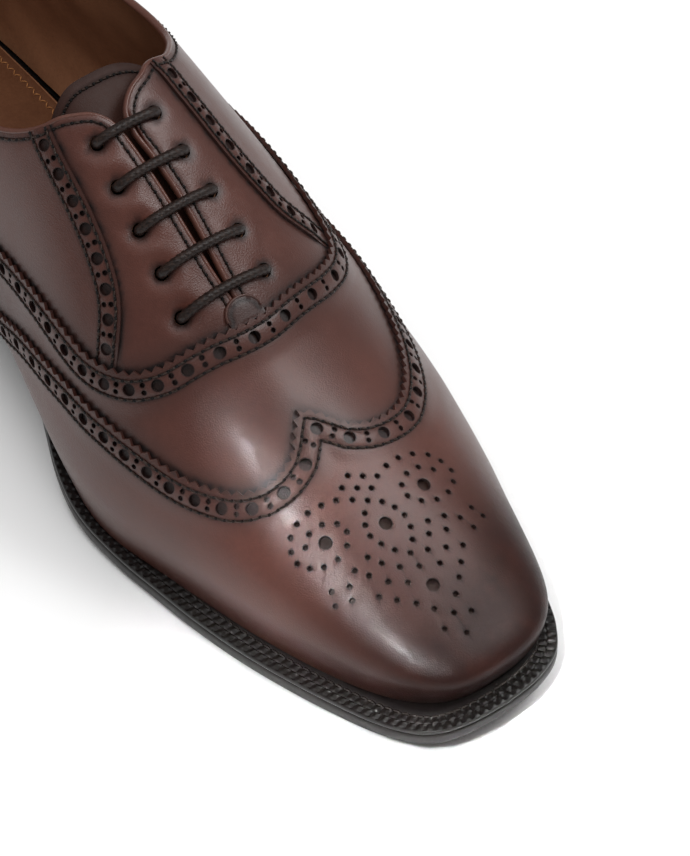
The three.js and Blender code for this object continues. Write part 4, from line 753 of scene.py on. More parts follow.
class Nodes:
    def __init__(self, name):
        self.mat = bpy.data.materials.new(name); self.mat.use_nodes = True
        self.t = self.mat.node_tree; self.bsdf = self.t.nodes['Principled BSDF']; self.tc = None

    def n(self, kind, **kw):
        x = self.t.nodes.new(kind)
        for k, v in kw.items():
            if k.startswith('i_'):
                x.inputs[k[2:].replace('_', ' ')].default_value = v
            else:
                setattr(x, k, v)
        return x

    def link(self, a, b):
        self.t.links.new(a, b)

    def coord(self):
        if self.tc is None:
            self.tc = self.n('ShaderNodeTexCoord')
        return self.tc.outputs['Object']

    def noise(self, scale, detail=3.0, rough=.5, dist=0.0, vec=None):
        x = self.n('ShaderNodeTexNoise'); x.inputs['Scale'].default_value = scale; x.inputs['Detail'].default_value = detail
        x.inputs['Roughness'].default_value = rough; x.inputs['Distortion'].default_value = dist
        self.link(vec or self.coord(), x.inputs['Vector']); return x.outputs['Fac']

    def voronoi(self, scale, feature='F1', vec=None, out='Distance', rnd=1.0):
        x = self.n('ShaderNodeTexVoronoi', feature=feature); x.inputs['Scale'].default_value = scale; x.inputs['Randomness'].default_value = rnd
        self.link(vec or self.coord(), x.inputs['Vector']); return x.outputs[out]

    def ramp(self, fac, stops, interp='LINEAR'):
        x = self.n('ShaderNodeValToRGB'); x.color_ramp.interpolation = interp; e = x.color_ramp.elements
        while len(e) > 1:
            e.remove(e[-1])
        for i, (p, c) in enumerate(stops):
            k = e[0] if i == 0 else e.new(p); k.position = p; k.color = c if isinstance(c, (list, tuple)) else (c, c, c, 1)
        self.link(fac, x.inputs[0]); return x.outputs[0]

    def mix(self, fac, a, b, blend='MIX'):
        x = self.n('ShaderNodeMix', data_type='RGBA', blend_type=blend)
        for s, v in ((x.inputs[0], fac), (x.inputs[6], a), (x.inputs[7], b)):
            if isinstance(v, (int, float)):
                s.default_value = v
            elif isinstance(v, (list, tuple)):
                s.default_value = v
            else:
                self.link(v, s)
        return x.outputs[2]

    def math(self, op, a, b=None, clamp=False):
        x = self.n('ShaderNodeMath', operation=op, use_clamp=clamp)
        for s, v in zip(x.inputs, (a, b)):
            if v is None:
                continue
            if isinstance(v, (int, float)):
                s.default_value = v
            else:
                self.link(v, s)
        return x.outputs[0]

    def attr(self, name):
        return self.n('ShaderNodeAttribute', attribute_name=name, attribute_type='GEOMETRY').outputs['Fac']

    def map(self, v, a, b, c, d):
        x = self.n('ShaderNodeMapRange', clamp=True)
        for k, val in zip(('From Min', 'From Max', 'To Min', 'To Max'), (a, b, c, d)):
            x.inputs[k].default_value = val
        self.link(v, x.inputs['Value']); return x.outputs['Result']

    def bump(self, h, strength, dist, prev=None):
        x = self.n('ShaderNodeBump'); x.inputs['Strength'].default_value = strength; x.inputs['Distance'].default_value = dist
        self.link(h, x.inputs['Height'])
        if prev is not None:
            self.link(prev, x.inputs['Normal'])
        return x.outputs['Normal']

    def scaled(self, s):
        x = self.n('ShaderNodeMapping'); x.inputs['Scale'].default_value = s; self.link(self.coord(), x.inputs['Vector']); return x.outputs[0]

    def out(self, color=None, rough=None, normal=None, **const):
        if color is not None:
            if isinstance(color, (list, tuple)):
                self.bsdf.inputs['Base Color'].default_value = color
            else:
                self.link(color, self.bsdf.inputs['Base Color'])
        if rough is not None:
            if isinstance(rough, (int, float)):
                self.bsdf.inputs['Roughness'].default_value = rough
            else:
                self.link(rough, self.bsdf.inputs['Roughness'])
        if normal is not None:
            self.link(normal, self.bsdf.inputs['Normal'])
        for k, v in const.items():
            self.bsdf.inputs[k.replace('_', ' ')].default_value = v
        return self.mat


def calf(name='calf', deep='#140b0a', dark='#22120f', mid='#472720', light='#573229', rough=.36, coat=.14, use_attr=True):
    m = Nodes(name)
    big = m.noise(26, 3, .55, .3); cloud = m.noise(95, 4, .6, .2); fine = m.noise(700, 3, .6)
    base = m.ramp(m.math('ADD', m.math('MULTIPLY', big, .62), m.math('MULTIPLY', cloud, .38)), [(.33, hexc(mid)), (.5, m_mix(hexc(mid), hexc(light), .45)), (.68, hexc(light))])
    speck = m.map(fine, .35, .7, .93, 1.05)
    g = m.n('ShaderNodeCombineColor'); [m.link(speck, g.inputs[i]) for i in range(3)]
    base = m.mix(1.0, base, g.outputs[0], 'MULTIPLY')
    if use_attr:
        # burnish-and-shade mask: the toe's real burnish plus painted shade, mixed towards the dark colour
        burnish_and_shade = m.math('MULTIPLY', m.attr('burnish_and_shade'), m.map(cloud, .3, .7, .85, 1.15), True)
        col = m.mix(burnish_and_shade, base, hexc(dark))
        # burn-and-shade mask: dark seams and cut edges plus painted shade in seam grooves, holes, covered borders and
        # beside lapped edges, mixed towards the deep colour
        edge = m.math('MULTIPLY', m.attr('burn_and_shade'), m.map(fine, .3, .7, .86, 1.1), True)
        col = m.mix(edge, col, hexc(deep))
    else:
        col = base
    r = m.math('ADD', m.map(cloud, .3, .7, rough - .035, rough + .045), m.map(fine, .3, .7, -.03, .03))
    if use_attr:
        r = m.math('ADD', r, m.math('MULTIPLY', m.attr('burn_and_shade'), .2))
    grain = m.math('ADD', m.math('MULTIPLY', m.voronoi(2500, rnd=1.0), .75), m.math('MULTIPLY', m.noise(4200, 2, .6), .45))
    nrm = m.bump(m.noise(210, 3, .55, .4), .16, .00010)
    nrm = m.bump(grain, .62, .00011, nrm)
    if use_attr:
        m.link(m.map(m.attr('burnish_and_shade'), .2, 1.0, .5, .16), m.bsdf.inputs['Specular IOR Level'])
        m.link(m.map(m.attr('burnish_and_shade'), .2, 1.0, coat, coat * .3), m.bsdf.inputs['Coat Weight'])
        return m.out(col, r, nrm, Coat_Roughness=.22)
    return m.out(col, r, nrm, Coat_Weight=coat, Coat_Roughness=.22, Specular_IOR_Level=.5)


def m_mix(a, b, t):
    return [x + (y - x) * t for x, y in zip(a, b)]


def lining(name, a, b, rough=.56, grain=900, wrinkle=.2):
    m = Nodes(name)
    big = m.noise(34, 4, .6, .5); fine = m.noise(800, 3, .65)
    col = m.ramp(m.math('ADD', m.math('MULTIPLY', big, .7), m.math('MULTIPLY', fine, .3)), [(.35, hexc(a)), (.66, hexc(b))])
    pore = m.map(m.voronoi(grain), 0, .35, .8, 1.0)
    g = m.n('ShaderNodeCombineColor'); [m.link(pore, g.inputs[i]) for i in range(3)]
    col = m.mix(.5, col, g.outputs[0], 'MULTIPLY')
    nrm = m.bump(m.noise(60, 3, .5, .8), wrinkle, .0006)
    nrm = m.bump(m.math('ADD', m.voronoi(grain), m.noise(1500, 2)), .3, .00008, nrm)
    return m.out(col, m.map(fine, .3, .7, rough - .06, rough + .08), nrm, Specular_IOR_Level=.35)


def edge_leather(name, a, b, rough=.4, layers=0.0, strength=.35, coat=.15):
    m = Nodes(name)
    big = m.noise(50, 4, .6, .3); v = m.scaled((60, 60, 900)); lay = m.noise(1.0, 4, .6, .2, v)
    f = m.math('ADD', m.math('MULTIPLY', big, 1 - layers), m.math('MULTIPLY', lay, layers))
    col = m.ramp(f, [(.34, hexc(a)), (.66, hexc(b))])
    scuff = m.noise(420, 5, .7, .6)
    nrm = m.bump(m.math('ADD', m.math('MULTIPLY', lay, .6), m.math('MULTIPLY', scuff, .6)), strength, .00012)
    return m.out(col, m.map(scuff, .3, .72, rough - .1, rough + .14), nrm, Coat_Weight=coat, Coat_Roughness=.3)


def thread_mat(name, a, b, rough=.5):
    m = Nodes(name)
    f = m.noise(1500, 3, .6); col = m.ramp(f, [(.35, hexc(a)), (.65, hexc(b))])
    nrm = m.bump(m.noise(4200, 2, .6), .5, .0001)
    return m.out(col, m.map(f, .3, .7, rough - .1, rough + .1), nrm, Specular_IOR_Level=.35)


def simple(name, a, b, scale, rough, metal=0.0, bump=.25, dist=.0001):
    m = Nodes(name)
    f = m.noise(scale, 4, .6, .3); col = m.ramp(f, [(.32, hexc(a)), (.68, hexc(b))])
    nrm = m.bump(m.noise(scale * 4, 4, .65), bump, dist)
    return m.out(col, m.map(f, .3, .7, max(.05, rough - .08), rough + .08), nrm, Metallic=metal)


M_CALF = calf()
# tongue calf: rougher and darker; the darker colour is painted shade from the facings over the tongue
M_TONGUE_SHADED = calf('calf_tongue_shaded', rough=.58, coat=.0, mid='#38211a', light='#452a21')
M_FOLD = calf('calf_folded_edge', rough=.32, mid='#4e2e26', light='#623e33', coat=.25)
M_TAN = lining('lining_tan', '#785039', '#91654a')
M_SOCK = lining('sock_tan', '#50301f', '#64402b', .5, 1100, .12)
M_GRIP = lining('grip_suede', '#54301f', '#63402a', .78, 1500, .1)
M_UNDER = lining('leather_inside', '#2a1914', '#38231b', .8, 900, .1)
M_WELT = edge_leather('welt_black_brown', '#0b0908', '#161110', .36, .1, .5, .2)
M_EDGE = edge_leather('sole_edge', '#120f0d', '#211c1a', .46, .5, .4, .05)
M_LIFT = edge_leather('heel_lift_edge', '#231d1b', '#362d2a', .38, .8, .5, .2)
M_SOLE = edge_leather('outsole_leather', '#2b211d', '#43342c', .5, .1, .5, .1)
M_RUBBER = simple('heel_rubber', '#141313', '#201f1e', 300, .66, 0, .4)
M_THREAD = thread_mat('seam_thread', '#150e0b', '#382a24', .5)
# near-black needle-hole lenses: painted shade for the holes' depth
M_NEEDLE_HOLE_SHADE = simple('needle_hole_shade', '#050303', '#0d0807', 900, .85, 0, .2)
M_WELTTHREAD = thread_mat('welt_thread', '#15110f', '#3a332f', .38)
M_SOCKTHREAD = thread_mat('sock_thread', '#8a5a36', '#a9754a', .6)
M_CORK = simple('cork', '#6b4a30', '#a67a52', 700, .9, 0, .7, .0004)
M_STEEL = simple('steel', '#8f9193', '#b4b6b8', 600, .32, 1.0, .15)
M_BRASS = simple('brass_nail', '#8d6a35', '#c29a55', 500, .34, 1.0, .2)
M_BOARD = lining('stiffener_board', '#8d7c62', '#a99a7c', .85, 700, .1)
# dark brown floor for the perforations: partly the backing under them, partly painted shade in the holes
M_BACKING_AND_SHADE = lining('perforation_backing_and_shade', '#1d1310', '#30211c', .7, 900, .1)


def lace_mat():
    m = Nodes('waxed_lace')
    f = m.noise(900, 3, .6); v = m.voronoi(2300)
    col = m.ramp(m.math('ADD', m.math('MULTIPLY', f, .6), m.math('MULTIPLY', v, .4)), [(.25, hexc('#0e0807')), (.5, hexc('#1b100c')), (.75, hexc('#302019'))])
    nrm = m.bump(m.math('ADD', m.noise(3200, 2, .6), m.math('MULTIPLY', v, .6)), .55, .00012)
    return m.out(col, m.map(f, .3, .7, .38, .56), nrm, Coat_Weight=.06, Coat_Roughness=.35, Specular_IOR_Level=.4)


M_LACE = lace_mat()
M_AGLET = simple('lace_tip', '#1d1613', '#2a211c', 500, .3, 0, .15)


def paint_burnish_and_shade(ob):
    """Burnish and painted shade over the whole shoe: darker towards the toe tip and its lateral side, the feather line
    and the back; partly the toe's real burnish, partly painted shade and dark reflection.
    """
    me = ob.data; n = len(me.vertices); co = np.empty(n * 3); me.vertices.foreach_get('co', co); P = co.reshape(-1, 3) * 1000 / K + ORI
    x, y, z = P.T
    u = (z - zf(x)) * K
    # the lateral bias darkens the lateral side of the toe more: painted shade
    t = .96 * sstep(252, 290, x + .3 * (y + 3) + .10 * np.abs(y + 3))
    t = np.maximum(t, .72 * sstep(238, 280, x))
    t = np.maximum(t, .42 * sstep(14, 2, u))
    t = np.maximum(t, .25 * sstep(60, 10, x))
    a = me.attributes.new('burnish_and_shade', 'FLOAT', 'POINT'); a.data.foreach_set('value', t.astype(np.float32))


# ------------------------------------------------------------------ sewn seams
def stitches(name, rows, hfun, base=0.0, pitch=2.45, length=1.85, r=.30, mat=None, slot='burnished_calf', body='shoe', sides=6, zig=0.0):
    VV, TT, HH, k = [], [], [], 0
    for row in rows:
        row = A2(row)
        if len(row) < 3:
            continue
        P0 = at(row); t = arclen(P0) * K; n = int((t[-1] - .5) / pitch)
        if n < 1:
            continue
        s = .5 * (t[-1] - n * pitch) + pitch * (np.arange(n) + .5)
        f = np.array([-.5, -.34, 0, .34, .5]); S_ = (s[:, None] + f[None] * length).ravel()
        c = np.stack([np.interp(S_, t, row[:, 0]), np.interp(S_, t, row[:, 1])], 1)
        P, N = surf(c[:, 0], c[:, 1])
        cm = np.stack([np.interp(s, t, row[:, 0]), np.interp(s, t, row[:, 1])], 1); Pm, _ = surf(cm[:, 0], cm[:, 1])
        h = np.repeat(hfun(cm[:, 0], cm[:, 1], Pm)[0] if callable(hfun) else np.full(n, float(hfun)), 5) + base
        P = P.reshape(n, 5, 3); N = N.reshape(n, 5, 3); T = P[:, 4] - P[:, 0]; T /= np.linalg.norm(T, axis=1, keepdims=True)
        R = np.cross(T[:, None], N); R /= np.linalg.norm(R, axis=2, keepdims=True)
        lift = np.array([-.30, .02, .14, .02, -.30]); rad = np.array([.45, .9, 1, .9, .45]) * r
        tw = (np.array([-.5, -.34, 0, .34, .5]) * .30)     # each stitch lies a little slanted in its row
        if zig:
            sg = np.where(np.arange(n) % 2 == 0, 1, -1)
            P = P + R * mm(zig) * (f[None, :, None] * 2) * sg[:, None, None]
        else:
            P = P + R * mm(tw)[None, :, None]
        C = P + N * mm(h.reshape(n, 5) + lift)[..., None]
        a = np.arange(sides) / sides * 2 * math.pi
        V = C[:, :, None] + (np.cos(a)[None, None, :, None] * R[:, :, None] + np.sin(a)[None, None, :, None] * N[:, :, None]) * mm(rad)[None, :, None, None]
        VV.append(V.reshape(-1, 3))
        q = []
        for i in range(4):
            for j in range(sides):
                q.append((i * sides + j, i * sides + (j + 1) % sides, (i + 1) * sides + (j + 1) % sides, (i + 1) * sides + j))
        tr = [(0, j + 1, j) for j in range(1, sides - 1)] + [(4 * sides, 4 * sides + j, 4 * sides + j + 1) for j in range(1, sides - 1)]
        T1 = tri_mix(tr, q)[:, ::-1]
        TT.append((T1[None] + (np.arange(n) * 5 * sides)[:, None, None] + k).reshape(-1, 3)); k += n * 5 * sides
        HH.append(np.zeros(n * len(T1), np.int32))
        if zig or not callable(hfun):
            continue
        # needle holes between the stitches: flat near-black lenses let into the groove, painted shade for the holes'
        # depth
        g = np.r_[s - pitch / 2, s[-1] + pitch / 2]; g = g[(g > .3) & (g < t[-1] - .3)]; m = len(g)
        c = np.stack([np.interp(g, t, row[:, 0]), np.interp(g, t, row[:, 1])], 1); P, N, U, R = frames(c)
        hc = hfun(c[:, 0], c[:, 1], P)[0] + (base if base < 0 else 0)
        U = np.cross(N, R); a = np.arange(8) / 8 * 2 * math.pi
        ring = P[:, None] + (np.cos(a)[None, :, None] * R[:, None] * .88 + np.sin(a)[None, :, None] * U[:, None]) * mm(.48) + N[:, None] * mm(hc + .05)[:, None, None]
        V = np.concatenate([ring, (P + N * mm(hc + .07)[:, None])[:, None], (P + N * mm(hc - .28)[:, None])[:, None]], 1)
        L1 = np.array([(8, j, (j + 1) % 8) for j in range(8)] + [(9, (j + 1) % 8, j) for j in range(8)])
        x = V[0][L1] - V[0].mean(0)
        if np.einsum('ij,ij->i', x[:, 0], np.cross(x[:, 1], x[:, 2])).sum() < 0:
            L1 = L1[:, ::-1]
        VV.append(V.reshape(-1, 3)); TT.append((L1[None] + (np.arange(m) * 10)[:, None, None] + k).reshape(-1, 3)); k += m * 10
        HH.append(np.ones(m * 16, np.int32))
    ob = make(name, to_m(np.vstack(VV)), np.vstack(TT), mat or M_THREAD, body, sharp=0)
    idx = np.concatenate(HH)
    if idx.any() and len(idx) == len(ob.data.polygons):
        ob.data.materials.append(M_NEEDLE_HOLE_SHADE); ob.data.polygons.foreach_set('material_index', idx)
    return ob


def tube(name, C, A, B, ra, rb, mat, sides=12, closed=False, body='shoe', prof=None, cap=True):
    """Swept section: centre C, axes A and B (unit), radii ra and rb in mm."""
    n = len(C); a = np.arange(sides) / sides * 2 * math.pi
    ra = np.broadcast_to(np.asarray(ra, float), (n,)); rb = np.broadcast_to(np.asarray(rb, float), (n,))
    V = C[:, None] + (np.cos(a)[None, :, None] * A[:, None]) * mm(ra)[:, None, None] + (np.sin(a)[None, :, None] * B[:, None]) * mm(rb)[:, None, None]
    if prof is not None:
        V = V + prof(np.arange(n)[:, None], a[None])[..., None] * (V - C[:, None])
    i = np.arange(n - 1)[:, None] * sides; j = np.arange(sides)[None]; j2 = (j + 1) % sides
    q = np.stack([i + j, i + j2, i + sides + j2, i + sides + j], -1).reshape(-1, 4)
    if closed:
        e = (n - 1) * sides; q = np.vstack([q, np.stack([e + j[0], e + j2[0], j2[0], j[0]], -1)]); tr = []
    else:
        e = (n - 1) * sides; tr = [(0, k + 1, k) for k in range(1, sides - 1)] + [(e, e + k, e + k + 1) for k in range(1, sides - 1)]
    T = tri_mix(tr, q)
    X = V.reshape(-1, 3); t0 = X[T]; vol = np.einsum('ij,ij->i', t0[:, 0], np.cross(t0[:, 1], t0[:, 2])).sum()
    if vol < 0:
        T = T[:, ::-1]
    return make(name, to_m(X), T, mat, body, sharp=50)


# ------------------------------------------------------------------ uppers
def ring_closed(*parts):
    return clean(np.vstack([A2(p) for p in parts]))


wing_gimp = gimp([WING_A, WING_B]); vamp_gimp = gimp([VAMP_S]); count_gimp = gimp([COUNT_S])
big_holes = lambda c: [(A2(c), 1.62, 18)]
small_holes = lambda c: [(A2(c), .70, 9)]


def inside(pts, line, far=2.6):
    d = dist(at(pts), at(line)); return A2(pts)[d > far]


def above_feather(c, m=3.4):
    c = A2(c); P = at(c); return c[(P[:, 2] - zf(P[:, 0])) * K > m]


MEDB = [(A2(MED_BIG), 1.75, 18)]; MEDS = [(A2(MED_SMALL), .74, 9)]
def cut_by_feather(line):
    """Keeps the part of a medial-to-lateral (or lateral-to-medial) line above the feather, with its two crossings."""
    FE = np.vstack([FE_TOE, FE_HEEL[1:]]); P = at(line); up = (P[:, 2] - zf(P[:, 0])) * K > .12
    i = int(np.argmax(up)); j = len(up) - 1 - int(np.argmax(up[::-1]))
    out = A2(line)[i:j + 1]

    def root(a, b):
        for _ in range(20):
            m = (a + b) / 2; X = at([m])[0]
            if (X[2] - zf(X[0])) * K > .12:
                b = m
            else:
                a = m
        return b
    if i > 0:
        out = np.vstack([root(A2(line)[i - 1].copy(), A2(line)[i].copy()), out])
    if j < len(line) - 1:
        out = np.vstack([out, root(A2(line)[j + 1].copy(), A2(line)[j].copy())])
    return out


FE_ALL = np.vstack([FE_TOE, FE_HEEL[1:-1]])   # closed loop: lateral waist, toe, medial waist, heel
FE_A3 = at(FE_ALL)


def fe_between(a, b, forward=True):
    """Feather points strictly between two chart points, walking toe-wards round the loop order (forward) or against it."""
    A = at([a])[0]; B = at([b])[0]; n = len(FE_ALL)
    i = int(np.argmin(((FE_A3 - A) ** 2).sum(1))); j = int(np.argmin(((FE_A3 - B) ** 2).sum(1)))
    st = 1 if forward else -1; out = []; k = i
    while k != j:
        out.append(FE_ALL[k]); k = (k + st) % n
    out.append(FE_ALL[j]); out = np.array(out)
    P = at(out); keep = (np.linalg.norm(P - A, axis=1) > .7) & (np.linalg.norm(P - B, axis=1) > .7)
    return out[keep]


# wing cap
wing_line = cut_by_feather(wing_gimp)
wing_ob = panel('wing_cap_skin', np.vstack([wing_line, fe_between(wing_line[-1], wing_line[0], True)]), big_holes(above_feather(WING_BIG)) + small_holes(above_feather(WING_SMALL, 2.2)) + MEDB + MEDS,
                [above_feather(r, 1.2) for r in ROWS['wing']], h_wing, 1.05, M_CALF, s=1.0, sq=1.15)
paint_burnish_and_shade(wing_ob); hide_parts('wing_cap')
# vamp
vg = cut_by_feather(vamp_gimp); wu = cut_by_feather(WING_UNDER)
vamp_ob = panel('vamp_skin', np.vstack([vg, fe_between(vg[-1], wu[-1], True), rev(wu), fe_between(wu[0], vg[0], True)]),
                big_holes(above_feather(VAMP_BIG)) + small_holes(above_feather(VAMP_SMALL, 2.2)), [above_feather(r, 1.2) for r in ROWS['vamp']], h_vamp, 1.0, M_CALF)
paint_burnish_and_shade(vamp_ob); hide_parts('vamp')
# heel counter cover
cg = cut_by_feather(count_gimp)
counter_ob = panel('counter_skin', np.vstack([cg, fe_between(cg[-1], cg[0], True)]), big_holes(above_feather(COUNT_BIG)) + small_holes(above_feather(COUNT_SMALL, 2.2)),
                   [above_feather(r, 1.2) for r in ROWS['counter']], h_counter, 1.0, M_CALF, s=2.0)
paint_burnish_and_shade(counter_ob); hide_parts('heel_counter_cover')

cu = cut_by_feather(COUNT_UNDER)
FOLD_MID = int(np.argmin(FOLD[:, 0]))
QPT = {}
for side, s in (('m', 1), ('l', -1)):
    nm = 'medial' if side == 'm' else 'lateral'
    strip = STRIPS[side]; half = FOLD[:FOLD_MID + 1] if side == 'm' else rev(FOLD[FOLD_MID:])     # front to back
    half = np.vstack([half[(half[:, 1] * s < -.0008) | (np.arange(len(half)) < 40)], [[FOLD[FOLD_MID, 0], -.0008 * s]]])
    # the strip line is carried on to the fold
    strip_f = np.vstack([strip[0] + (strip[0] - strip[2]) * 3.0, strip]); xf, i_s, i_h = cross(strip_f, half)
    sl = after(strip_f, xf, i_s)
    vline = VAMP_UNDER if side == 'm' else rev(VAMP_UNDER)     # from this side's feather towards the throat
    vcut = cut_by_feather(vline); xv, j_s, j_v = cross(sl, vcut)
    cline = rev(cu) if side == 'm' else cu                     # from this side's feather to the other
    chalf = cline[:int(np.argmax((cline[:, 1] * s) > -.0008))]
    seam = np.stack([np.linspace(half[-1][0], chalf[-1][0], 40), np.full(40, -.0008 * s)], 1)
    outer = np.vstack([after(half, xf, i_h), seam[1:-1], rev(chalf), fe_between(cline[0], vcut[0], side == 'l'), vcut[:j_v + 1], xv, rev(before(sl, xv, j_s))[1:-1]])
    row1 = clip_to(ROWS['strip_' + side][0], FOLD, True); row2 = clip_to(ROWS['strip_' + side][1], FOLD, True)
    fr = even(ROWS['fold'][0], .8); frh = fr[fr[:, 1] < 0] if side == 'm' else fr[fr[:, 1] > 0]
    frq = frh[side_of(frh[:, 0], frh[:, 1], np.vstack([strip_f])) * s > 0]
    q_ob = panel('quarter_%s_skin' % nm, outer, big_holes(STRIP_BIG[side]) + small_holes(STRIP_SMALL[side]), [row1, row2, frq], h_quarter(side), .9, M_CALF, s=1.9)
    paint_burnish_and_shade(q_ob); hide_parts('quarter_' + nm)
    # facing, carried on under the quarter strip
    so = offset(strip, 6.0 * s); so = np.vstack([so[0] + (so[0] - so[2]) * 3.0, so])
    xf2, i2, ih2 = cross(so, half); so = after(so, xf2, i2); xv3, j3, jv3 = cross(so, vline)
    lace_edge = rev(half[:ih2 + 1])                    # from the collar end of the piece down to the throat
    xe, ie, je = cross(lace_edge, vline)
    a, b = sorted((jv3 + 1, je + 1))
    vpart = vline[a:b] if jv3 < je else rev(vline[a:b])
    outer = np.vstack([before(so, xv3, j3), vpart, rev(before(lace_edge, xe, ie))])
    frf = frh[side_of(frh[:, 0], frh[:, 1], np.vstack([strip_f])) * s < 0]
    f_ob = panel('facing_%s_skin' % nm, outer, [(EYES[side], 1.95, 20)], [frf], h_facing(side), 1.1, M_CALF, s=1.25)
    paint_burnish_and_shade(f_ob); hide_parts('facing_' + nm)
    QPT[side] = (row1, row2, frq, frf, seam, strip_f)

# ------------------------------------------------------------------ seams
def hq(f, k=0.26):
    return lambda p, q, P: (f(p, q, P)[0] + k, None, None)


def seam_rows(rows, m=1.6):
    return [above_feather(r, m) for r in rows]


stitches('wing_seam', seam_rows(ROWS['wing']), hq(h_wing))
stitches('vamp_seam', seam_rows(ROWS['vamp']), hq(h_vamp))
stitches('counter_seam', seam_rows(ROWS['counter']), hq(h_counter))
for side in 'ml':
    nm = 'medial' if side == 'm' else 'lateral'; row1, row2, frq, frf, seam, strip_f = QPT[side]
    up = [cut_to_vamp for cut_to_vamp in (clip_to(row1, VAMP_S, False), clip_to(row2, VAMP_S, False))]
    stitches('strip_%s_seam' % nm, up, hq(h_quarter(side)))
    stitches('collar_%s_seam' % nm, [frq], hq(h_quarter(side)), length=1.7, r=.27)
    stitches('facing_%s_seam' % nm, [clip_to(frf, VAMP_S, frf[0][0] > frf[-1][0])], hq(h_facing(side)), length=1.7, r=.27)

# folded edge round the collar and down both lacing edges, one rounded bead
fb = even(FOLD, .6); i0 = np.nonzero(fb[:, 0] < 203.4)[0]; fb = fb[i0[0]:i0[-1] + 1]
P, N, T, R = frames(fb)
for _ in range(3):
    T[1:-1] = (T[:-2] + T[1:-1] * 2 + T[2:]) / 4; N[1:-1] = (N[:-2] + N[1:-1] * 2 + N[2:]) / 4
T /= np.linalg.norm(T, axis=1, keepdims=True); N /= np.linalg.norm(N, axis=1, keepdims=True); R = np.cross(T, N)
C = P - N * mm(1.12) - R * mm(.10)
fold_ob = tube('folded_edge', C, R, N, .74, 1.10, M_FOLD, sides=14)
me = fold_ob.data
for nme, val in (('burn_and_shade', .0), ('burnish_and_shade', .0)):
    a = me.attributes.new(nme, 'FLOAT', 'POINT'); a.data.foreach_set('value', np.full(len(me.vertices), val, np.float32))

# ------------------------------------------------------------------ linings
_sd = hermite([8, 60, 95, 125, 205, 232, 304], [1.3, 1.3, 0.9, 0.1, 0.1, 1.3, 1.3])


def h_lining(p, q, P):
    d = dist(P, FOLD3); full = -(1.2 + 1.0 + _sd(P[:, 0]))
    k = sstep(.5, 16, d); h = -1.25 * (1 - k) + full * k
    w = .16 * np.sin(P[:, 0] * .21 + P[:, 2] * .13) * np.sin(P[:, 2] * .33 + 1) * sstep(4, 14, d)
    return h + w, np.zeros(len(P)), d


LIN_LINE = offset(VAMP_S, -3.0)
for side, s in (('m', 1), ('l', -1)):
    nm = 'medial' if side == 'm' else 'lateral'
    half = FOLD[:FOLD_MID + 1] if side == 'm' else rev(FOLD[FOLD_MID:])
    half = np.vstack([half[(half[:, 1] * s < -.0008) | (np.arange(len(half)) < 40)], [[FOLD[FOLD_MID, 0], -.0008 * s]]])
    ll = LIN_LINE if side == 'm' else rev(LIN_LINE); lcut = cut_by_feather(ll)
    xe, ie, je = cross(half, lcut)
    hp = after(half, xe, ie)
    fe_c = FE_HEEL[np.argmin(np.abs(FE_HEEL[:, 1]))].copy(); fe_c[1] = -.0008 * s
    seam = np.stack([np.linspace(hp[-1][0], fe_c[0], 60), np.full(60, -.0008 * s)], 1)
    ob = panel('quarter_lining_%s_skin' % nm, np.vstack([hp, seam[1:], fe_between(fe_c, lcut[0], side == 'l'), lcut[:je + 1]]), [(EYES[side], 1.9, 14)], [], h_lining, .85, M_TAN, s=2.6, attr=False)
    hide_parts('quarter_lining_' + nm)
lc = cut_by_feather(offset(VAMP_S, -2.6))
ob = panel('vamp_lining_skin', np.vstack([lc, fe_between(lc[-1], lc[0], True)]), [], [], lambda p, q, P: (-(2.2 + _sd(P[:, 0])), np.zeros(len(P)), None), .85, M_TAN, s=3.4, attr=False)
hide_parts('vamp_lining')
# heel grip: a suede piece inside the back of the collar
gl = even(FOLD, 1.5); gl = gl[gl[:, 0] < 60]; gl = offset(gl, -4.2)
gb = np.array([c for c in FE_HEEL[::6] if c[0] < 50]); gb = np.stack([54 + (gb[:, 0] - 54) * .74, gb[:, 1] * .74], 1)
ob = panel('heel_grip_skin', np.vstack([gl, rev(gb)]), [], [even(offset(gl, -1.6), 1.2)], lambda p, q, P: (h_lining(p, q, P)[0] - 1.35, np.zeros(len(P)), None), .7, M_GRIP, s=2.6, attr=False)
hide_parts('heel_grip')
grow = offset(gl, -1.6)


def stitches_inside(name, row, depth, **kw):
    """Seam on the inner face: the stitches sit depth mm below the lining's surface height, along the outward normal."""
    return stitches(name, [row], lambda p, q, P: (h_lining(p, q, P)[0] - depth, None, None), **kw)


stitches_inside('heel_grip_seam', grow, 2.12, base=0.0, mat=M_SOCKTHREAD, slot='lining_leather', r=.26, length=1.7)

# ------------------------------------------------------------------ tongue
TE = [(207, -0.3), (200, -0.44), (190, -0.52), (178, -0.56), (166, -0.58), (156, -0.60), (148, -0.58), (143.9, -0.5), (142.2, -0.38), (141.7, -0.2), (141.8, 0), (141.9, 0.2), (142.6, 0.4), (144.4, 0.54), (148.2, 0.61), (156, 0.62), (166, 0.58), (178, 0.54), (190, 0.48), (200, 0.4), (207, 0.26)]
te = chart_spline(TE, 420); te3 = at(te)
trow = offset(even(te, .9), 3.0)
top_mid = np.argmin(te[:, 0])
_pa = at([te[top_mid]])[0]; trow_in = offset(even(te, .9), -3.0)
trow = trow if trow[len(trow) // 2][0] > te[top_mid][0] else trow_in
trow = trow[(trow[:, 0] < 186)]


def h_tongue(p, q, P):
    d = dist(P, te3); g, b = groove(P, [trow])
    h = -7.0 + g * .9 - .38 * bell(d, .7) + .0 * q
    h += .10 * np.sin(P[:, 0] * .33 + P[:, 1] * .2) * sstep(2, 8, d)
    return h, np.maximum(b * .85, .35 * bell(d, 1.0)), d


tg_ob = panel('tongue_skin', te, [], [trow], h_tongue, 1.2, M_TONGUE_SHADED, s=1.6, body='tongue')
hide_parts('tongue')
